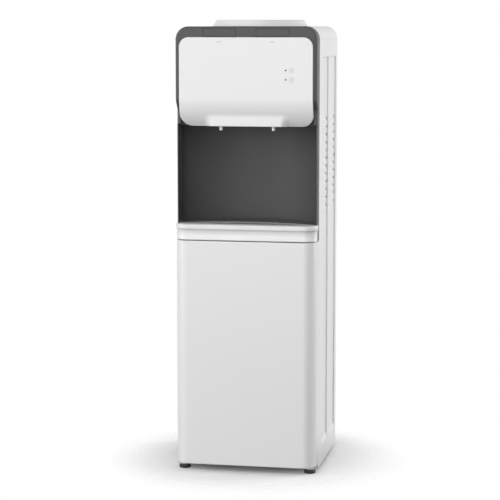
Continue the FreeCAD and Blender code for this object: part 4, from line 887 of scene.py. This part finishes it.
def make_marks():
    """Plain marks: a dash below each button, and a ring beside each indicator lens."""
    bench = Bench()
    below_buttons = panel_hi.z - 10 * MM
    for name in ("button_hot", "button_cold"):
        low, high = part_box(name)
        centre = (low.x + high.x) / 2
        for step in (-1, 0, 1):
            mark_bar(bench, (centre + 3.4 * MM * step, below_buttons), 2.6 * MM, 1.8 * MM, 62)
    lens_lo, lens_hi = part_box("indicator_lenses")
    beside = (lens_lo.x + lens_hi.x) / 2 + 12.8 * MM
    lens_half = (lens_hi.x - lens_lo.x) / 2
    upper, lower = lens_hi.z - lens_half, lens_lo.z + lens_half
    for z in (upper, lower):
        mark_ring(bench, (beside, z), 5.4 * MM, 0.7 * MM)
    mark_ring(bench, (beside, upper - 0.8 * MM), 2.2 * MM, 0.7 * MM)
    mark_bar(bench, (beside, upper + 2.2 * MM), 2.2 * MM, 0.8 * MM, 90)
    for turn in (0, 60, 120):
        mark_bar(bench, (beside, lower), 5.6 * MM, 0.6 * MM, turn)
    return dress(bench.plain("printed_marks"), "grey_plastic")


panel = make_panel()
shroud_floor = make_shroud_floor()
marks = make_marks()
print("panel:", sum(len(piece.data.polygons) for piece in (panel, shroud_floor, marks)), "faces")

# %% [markdown]
# ## Nozzles
# Only the tips of the two outlets show under the shroud: a slim white spout with a bored mouth, stepped up
# to a collar where it passes through the floor of the shroud.
# %% Nozzles


def make_nozzles():
    low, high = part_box("nozzles")
    collar, tip, bore = 6.0 * MM, 3.6 * MM, 2.2 * MM
    neck = low.z + 7.5 * MM
    profile = [(bore, high.z), (bore, low.z + 1.2 * MM), (bore + 0.5 * MM, low.z + 0.3 * MM),
               (bore + 0.9 * MM, low.z), (tip - 0.4 * MM, low.z + 0.15 * MM), (tip, low.z + 0.8 * MM),
               (tip, neck), (tip + 0.7 * MM, neck + 1.6 * MM), (collar - 0.6 * MM, neck + 2.6 * MM),
               (collar, neck + 3.2 * MM), (collar, high.z)]
    bench = Bench()
    for side in (-1, 1):
        bench.lathe(profile, (side * (high.x - collar), (low.y + high.y) / 2), 48)
    return dress(bench.plain("spouts"), "tap_plastic", stands_for=["nozzles"], sharp=50)


nozzles = make_nozzles()
print("nozzles:", len(nozzles.data.polygons), "faces")

# %% [markdown]
# ## Top cover and bottle collar
# The top cover is a white shell with the hood's big corners, rounded over at the back. The collar that seats
# the bottle stands on it as a low cone, so it is turned like on a lathe, with a lead-in at its mouth.
# %% Top cover and collar


def cover_outline(inset, y, steps=12):
    """Upright section of the cover, open below, from right to left."""
    x = HALF - inset
    r = TOP_CORNER - inset
    top = cover_hi.z - inset
    right = [(px, y, pz) for px, pz in arc((x - r, top - r), r, 0, 90, steps)]
    left = [(-px, y, pz) for px, y, pz in reversed(right)]
    return [(x, y, cover_lo.z)] + right + left + [(-x, y, cover_lo.z)]


def make_cover():
    rear_edge = 6 * MM
    bench = Bench()
    rings = [cover_outline(0.6 * MM, cover_lo.y + 0.15 * MM), cover_outline(0.0, cover_lo.y + 0.8 * MM)]
    for k in range(9):
        a = math.pi / 2 * k / 8
        rings.append(cover_outline(rear_edge * (1 - math.cos(a)), cover_hi.y - rear_edge * (1 - math.sin(a))))
    rows = bench.skin(rings, around=False)
    bench.bm.faces.new(rows[-1])
    cover = bench.plain("cover_shell")
    thicken(cover, 2.4 * MM)
    bench = Bench()
    hole = 95.3 * MM
    bench.lathe([(0, cover_hi.z - 40 * MM), (hole, cover_hi.z - 40 * MM), (hole, cover_hi.z + 20 * MM),
                 (0, cover_hi.z + 20 * MM)], COLLAR, 96, closed=False)
    cut(cover, bench.plain("tool"))
    return dress(cover, "white_plastic", stands_for=["top_cover"], sharp=40)


def make_collar():
    low, top = collar_lo.z, collar_hi.z
    base = collar_hi.x
    bore, rim = 92 * MM, 98 * MM
    deck = cover_hi.z
    profile = [(bore, low), (bore + 3 * MM, low), (bore + 3 * MM, deck + 0.1 * MM),
               (base - 0.5 * MM, deck + 0.1 * MM), (base, deck + 0.5 * MM), (base - 0.2 * MM, deck + 1.1 * MM),
               (base - 1.2 * MM, deck + 1.6 * MM)]
    profile += [(rim + 1.2 * MM, top - 3.0 * MM), (rim + 0.6 * MM, top - 1.6 * MM),
                (rim - 0.4 * MM, top - 0.5 * MM), (rim - 1.6 * MM, top), (bore + 3.4 * MM, top),
                (bore + 1.8 * MM, top - 0.6 * MM), (bore + 0.6 * MM, top - 1.9 * MM), (bore, top - 3.4 * MM)]
    bench = Bench()
    bench.lathe(profile, COLLAR, 144)
    return dress(bench.plain("collar_ring"), "white_plastic", stands_for=["bottle_collar"], sharp=50)


cover = make_cover()
collar = make_collar()
print("cover and collar:", len(cover.data.polygons) + len(collar.data.polygons), "faces")

# %% [markdown]
# ## Side panels
# The sides are pressed steel, sprayed white, with two shallow channels from near the floor to near the top.
# Each channel floor ramps up at its lower end, and twelve louvres are pressed out of it at tap height. The
# panel is stacked from plan sections, closed front to back, whose channels deepen with height. Louvres are
# small arched shells over real slots.
# %% Side panels
SIDE_WALL = 2.3 * MM
CHANNEL_DEPTH = 3 * MM
channels = [(side_lo.y + 45 * MM, side_lo.y + 125 * MM), (side_lo.y + 147 * MM, side_lo.y + 235 * MM)]
channel_low = side_lo.z + 42 * MM
channel_high = side_hi.z - 36 * MM
RAMP = 14 * MM
VENT_ROWS, VENT_PITCH, VENT_LENGTH = 12, 17.3 * MM, 47 * MM
VENT_TAIL = 17.5 * MM
vent_top = channel_high - 141 * MM
vent_middles = [(a + b) / 2 - 4 * MM for a, b in channels]


def channel_share(y):
    """How far into a channel a point is, from 0 outside to 1 on its floor."""
    wall = 1.8 * MM
    return max(smooth_step(y, a, a + wall) * (1 - smooth_step(y, b - wall, b)) for a, b in channels)


def channel_fade(z):
    """How deep the channels are at a height, from 0 beyond their ends to 1."""
    top_ramp = smooth_step(z, channel_high - 3.5 * MM, channel_high)
    return smooth_step(z, channel_low, channel_low + RAMP) * (1 - top_ramp)


def side_stations():
    """Points along the panel's depth, close together at its edges and at the channel walls."""
    edge = 1.4 * MM
    ys = [side_lo.y + edge * (1 - math.cos(math.radians(18 * k))) for k in range(6)]
    ys += [side_hi.y - edge * (1 - math.cos(math.radians(18 * k))) for k in range(6)]
    for a, b in channels:
        ys += [a - 1.5 * MM, b + 1.5 * MM]
        ys += [a + 1.8 * MM * k / 6 for k in range(7)] + [b - 1.8 * MM * k / 6 for k in range(7)]
        ys += [a + (b - a) * k / 6 for k in range(1, 6)]
    return sorted(ys)


def side_x(y, z):
    edge = 1.4 * MM
    near = min(y - side_lo.y, side_hi.y - y)
    drop = edge - math.sqrt(max(0.0, edge ** 2 - (edge - near) ** 2)) if near < edge else 0.0
    return HALF - drop - CHANNEL_DEPTH * channel_share(y) * channel_fade(z)


def side_heights():
    zs = [side_lo.z, side_lo.z + 0.5 * MM, side_lo.z + 1.5 * MM, channel_low - 2 * MM]
    zs += [channel_low + RAMP * k / 7 for k in range(8)]
    zs += [200 * MM, 350 * MM, 500 * MM, 540 * MM]
    zs += [vent_top - VENT_PITCH * (row + 0.5) for row in reversed(range(-1, VENT_ROWS))]
    zs += [channel_high - 20 * MM] + [channel_high - 3.5 * MM * k / 5 for k in reversed(range(6))]
    return sorted(zs + [channel_high + 2 * MM, side_hi.z - 0.6 * MM, side_hi.z])


def louvre(bench, side, middle, z):
    """Pressed louvre: an arched shell that opens downwards, with drawn-in ends."""
    floor = HALF - CHANNEL_DEPTH
    rise, proud, wall = 8.5 * MM, 2.7 * MM, 1.0 * MM
    rings = []
    for k in range(17):
        u = -1 + k / 8
        swell = (1 - abs(u) ** 5) ** 0.5 if abs(u) < 1 else 0.0
        y = middle + u * (VENT_LENGTH / 2 + 1.2 * MM)
        top = z + rise * (0.45 + 0.55 * swell)
        outside = []
        for j in range(9):
            t = j / 8
            out = proud * swell * math.sin(t * math.pi / 2) ** 1.15
            outside.append((floor + out + 0.05 * MM, y, top + (z - top) * t))
        inside = [(x - wall, y, h - 0.15 * MM * (h > z)) for x, y, h in reversed(outside)]
        rings.append([(side * x, y, h) for x, y, h in outside + inside])
    bench.skin(rings)


def make_side(side, name):
    stations = side_stations()
    rings = []
    for z in side_heights():
        ease = max(0.0, 1.0 * MM - (z - side_lo.z)) + max(0.0, 0.6 * MM - (side_hi.z - z))
        outer = [(side * (side_x(y, z) - ease), y, z) for y in stations]
        inner = [(side * (side_x(y, z) - SIDE_WALL), y, z) for y in reversed(stations)]
        rings.append(outer + inner)
    bench = Bench()
    bench.skin(rings)
    panel_side = bench.plain(name + "_skin")
    slots = Bench()
    for middle in vent_middles:
        for row in range(VENT_ROWS):
            z = vent_top - VENT_PITCH * row
            xs = sorted((side * (HALF - 12 * MM), side * (HALF + 5 * MM)))
            ends = (middle - VENT_LENGTH / 2, middle + VENT_LENGTH / 2 + VENT_TAIL)
            slots.block((xs[0], ends[0], z - 0.6 * MM), (xs[1], ends[1], z + 6.2 * MM), 0)
    cut(panel_side, slots.plain("tool"))
    dress(panel_side, "side_paint", stands_for=[name], sharp=40)
    extra = Bench()
    for middle in vent_middles:
        for row in range(VENT_ROWS):
            louvre(extra, side, middle, vent_top - VENT_PITCH * row)
    vents = dress(extra.plain(name + "_louvres"), "side_paint", stands_for=[name], sharp=50)
    flange = Bench()
    inward, outward = HALF - 12 * MM, HALF - 1.2 * MM
    back_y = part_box("back_panel")[0].y

    def strip(x0, x1, y0, y1, z0, z1):
        xs = sorted((side * x0, side * x1))
        flange.block((xs[0], y0, z0), (xs[1], y1, z1), 0.5 * MM)

    strip(inward, outward, side_hi.y - SIDE_WALL, side_hi.y - 0.05 * MM, side_lo.z + MM, side_hi.z - MM)
    strip(inward, outward, side_lo.y + 0.05 * MM, side_lo.y + SIDE_WALL, 14 * MM, ledge_lo.z)
    strip(137.5 * MM, HALF - 5.2 * MM, back_y - SIDE_WALL, back_y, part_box("back_panel")[0].z, side_hi.z)
    rails = dress(flange.plain(name + "_flanges"), "side_paint", stands_for=[name])
    return [panel_side, vents, rails]


sides = make_side(1, "side_panel_right") + make_side(-1, "side_panel_left")
print("sides:", sum(len(piece.data.polygons) for piece in sides), "faces")

# %% [markdown]
# ## Feet
# Four levelling feet carry the machine. Each is a rubber-faced disc with a grip ring and a stem.
# %% Feet


def make_foot(name):
    low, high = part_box(name)
    centre = ((low.x + high.x) / 2, (low.y + high.y) / 2)
    r = (high.x - low.x) / 2
    pad = 7 * MM
    profile = [(0, 0), (r - 1.6 * MM, 0), (r - 0.5 * MM, 0.4 * MM), (r, 1.3 * MM), (r, 2.4 * MM),
               (r - 0.5 * MM, 2.8 * MM), (r - 0.5 * MM, 3.4 * MM), (r, 3.8 * MM), (r, pad - 1.2 * MM),
               (r - 0.4 * MM, pad - 0.4 * MM), (r - 1.3 * MM, pad), (5.5 * MM, pad), (4 * MM, pad + 0.6 * MM),
               (4 * MM, high.z - 0.4 * MM), (3.6 * MM, high.z), (0, high.z)]
    bench = Bench()
    bench.lathe(profile, centre, 48, closed=False)
    return dress(bench.plain(name + "_pad"), "rubber", name, [name], sharp=50)


feet = [make_foot("foot_" + place) for place in ("front_left", "front_right", "rear_left", "rear_right")]
print("feet:", len(feet))

# %% [markdown]
# ## Parts that keep their own mesh
# What is left is inside or behind: tanks, hoses, the cooling circuit, the back panel. Their shape is right,
# so they keep it and get the finish of their slot. A moulded or pressed edge is never knife sharp, so a
# bevel that works only where two faces meet at a real angle takes the edges off and leaves the curves alone.
# %% Finishes and edges of the kept parts
replaced = {"door_shell", "ledge", "drip_grille", "front_shell", "hood", "button_hot", "button_cold",
            "control_panel", "nozzles", "top_cover", "bottle_collar", "side_panel_right", "side_panel_left",
            "foot_front_left", "foot_front_right", "foot_rear_left", "foot_rear_right"}
kept = [name for name in sorted(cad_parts) if name not in replaced]
for name in kept:
    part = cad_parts[name]
    for place in part.material_slots:
        place.material = finish[place.material.name.split(".")[0]]
    part.modifiers.new("joined facets", "WELD").merge_threshold = 0.01 * MM
    rounding = part.modifiers.new("eased edges", "BEVEL")
    rounding.width = 0.35 * MM
    rounding.segments = 2
    rounding.limit_method = "ANGLE"
    rounding.angle_limit = math.radians(40)
print("kept parts:", len(kept))

# %% [markdown]
# ## Studio
# The photo is a plain white product shot: bright, soft light from the front left, a long light along the
# right side, and a floor that fades to white with a small soft shadow under the machine. The world is white
# only to camera, mirror and glass rays, so it shows as the background without washing out the object.
# %% Floor


def make_floor():
    bench = Bench()
    reach = 3.0
    bench.bm.faces.new([bench.bm.verts.new((x, y, -0.0005)) for x, y in
                        ((-reach, -reach), (reach, -reach), (reach, reach), (-reach, reach))])
    floor = bench.plain("studio_floor")
    material = bpy.data.materials.new("studio_floor")
    material.use_nodes = True
    tree = material.node_tree
    shader = tree.nodes["Principled BSDF"]
    rays = tree.nodes.new("ShaderNodeLightPath")
    tone = blended(tree, rays.outputs["Is Camera Ray"], grey(0.25), grey(0.88))
    tree.links.new(tone, shader.inputs["Base Color"])
    glow = maths(tree, "MULTIPLY", rays.outputs["Is Camera Ray"], 0.04)
    shader.inputs["Emission Color"].default_value = (1, 1, 1, 1)
    tree.links.new(glow, shader.inputs["Emission Strength"])
    shader.inputs["Roughness"].default_value = 0.9
    shader.inputs["Specular IOR Level"].default_value = 0.0
    mapping = tree.nodes.new("ShaderNodeMapping")
    mapping.inputs["Scale"].default_value = (1.0, 1.0, 0.0)
    tree.links.new(tree.nodes.new("ShaderNodeTexCoord").outputs["Object"], mapping.inputs["Vector"])
    length = tree.nodes.new("ShaderNodeVectorMath")
    length.operation = "LENGTH"
    tree.links.new(mapping.outputs["Vector"], length.inputs[0])
    fade = tree.nodes.new("ShaderNodeMapRange")
    fade.interpolation_type = "SMOOTHSTEP"
    fade.inputs["From Min"].default_value = 0.13
    fade.inputs["From Max"].default_value = 0.36
    fade.inputs["To Min"].default_value = 1.0
    fade.inputs["To Max"].default_value = 0.0
    tree.links.new(length.outputs["Value"], fade.inputs["Value"])
    tree.links.new(fade.outputs["Result"], shader.inputs["Alpha"])
    floor.data.materials.append(material)
    return floor


floor = make_floor()

# %% World and lamps


def make_world():
    world = bpy.data.worlds.new("studio")
    bpy.context.scene.world = world
    world.use_nodes = True
    tree = world.node_tree
    tree.nodes.clear()
    rays = tree.nodes.new("ShaderNodeLightPath")
    direction = tree.nodes.new("ShaderNodeSeparateXYZ")
    tree.links.new(tree.nodes.new("ShaderNodeTexCoord").outputs["Generated"], direction.inputs[0])
    wall = tree.nodes.new("ShaderNodeMapRange")
    wall.interpolation_type = "SMOOTHSTEP"
    wall.inputs["From Min"].default_value = 0.25
    wall.inputs["From Max"].default_value = 0.75
    wall.inputs["To Min"].default_value = 1.0
    wall.inputs["To Max"].default_value = 0.2
    tree.links.new(maths(tree, "ABSOLUTE", direction.outputs["Z"], 0.0), wall.inputs["Value"])
    mirrored = maths(tree, "MULTIPLY", rays.outputs["Is Glossy Ray"], wall.outputs["Result"])
    seen = maths(tree, "MAXIMUM", rays.outputs["Is Camera Ray"], mirrored)
    seen = maths(tree, "MAXIMUM", seen, rays.outputs["Is Transmission Ray"])
    fill = 0.15
    strength = maths(tree, "ADD", maths(tree, "MULTIPLY", seen, 1.0 - fill), fill)
    background = tree.nodes.new("ShaderNodeBackground")
    background.inputs["Color"].default_value = (1, 1, 1, 1)
    tree.links.new(strength, background.inputs["Strength"])
    output = tree.nodes.new("ShaderNodeOutputWorld")
    tree.links.new(background.outputs["Background"], output.inputs["Surface"])


def soft_lamp(name, place, aim, width, height, watts):
    lamp = bpy.data.lights.new(name, "AREA")
    lamp.shape = "RECTANGLE"
    lamp.size = width
    lamp.size_y = height
    lamp.energy = watts
    thing = bpy.data.objects.new(name, lamp)
    thing.location = place
    thing.rotation_euler = (Vector(aim) - Vector(place)).to_track_quat("-Z", "Y").to_euler()
    bpy.context.scene.collection.objects.link(thing)


make_world()
middle = (0, 0, 0.5)
soft_lamp("front", (0.3, -3.9, 1.0), middle, 2.0, 2.0, 33)
soft_lamp("front_left", (-1.9, -3.3, 1.3), middle, 1.8, 2.2, 29)
soft_lamp("far_left", (-3.2, -1.9, 1.2), middle, 1.8, 2.2, 53)
soft_lamp("front_right", (2.5, -2.7, 1.2), middle, 1.8, 2.2, 8)
soft_lamp("behind_right", (3.2, 1.7, 1.3), middle, 1.6, 2.4, 92)
soft_lamp("above", (0.0, -2.4, 2.9), middle, 2.0, 1.6, 31)
print("studio:", len(bpy.data.lights), "soft lamps")

# %% [markdown]
# ## Camera
# The camera stands four metres away, a little to the right, at the height of the machine's top, with a long
# lens. Its place was worked out from where the edges of the housing fall in the photo.
# %% Camera
view = bpy.data.cameras.new("photo_view")
view.lens = 131.58
view.sensor_width = 36.0
view.clip_end = 50.0
camera = bpy.data.objects.new("photo_view", view)
camera.location = (0.76664, -3.98612, 0.97328)
camera.rotation_euler = (math.radians(82.976), 0.0, math.radians(11.128))
bpy.context.scene.collection.objects.link(camera)
bpy.context.scene.camera = camera
bpy.context.scene.view_settings.view_transform = "Standard"
print("camera:", [round(value, 3) for value in camera.location])

# %% Last update of the scene
bpy.context.view_layer.update()
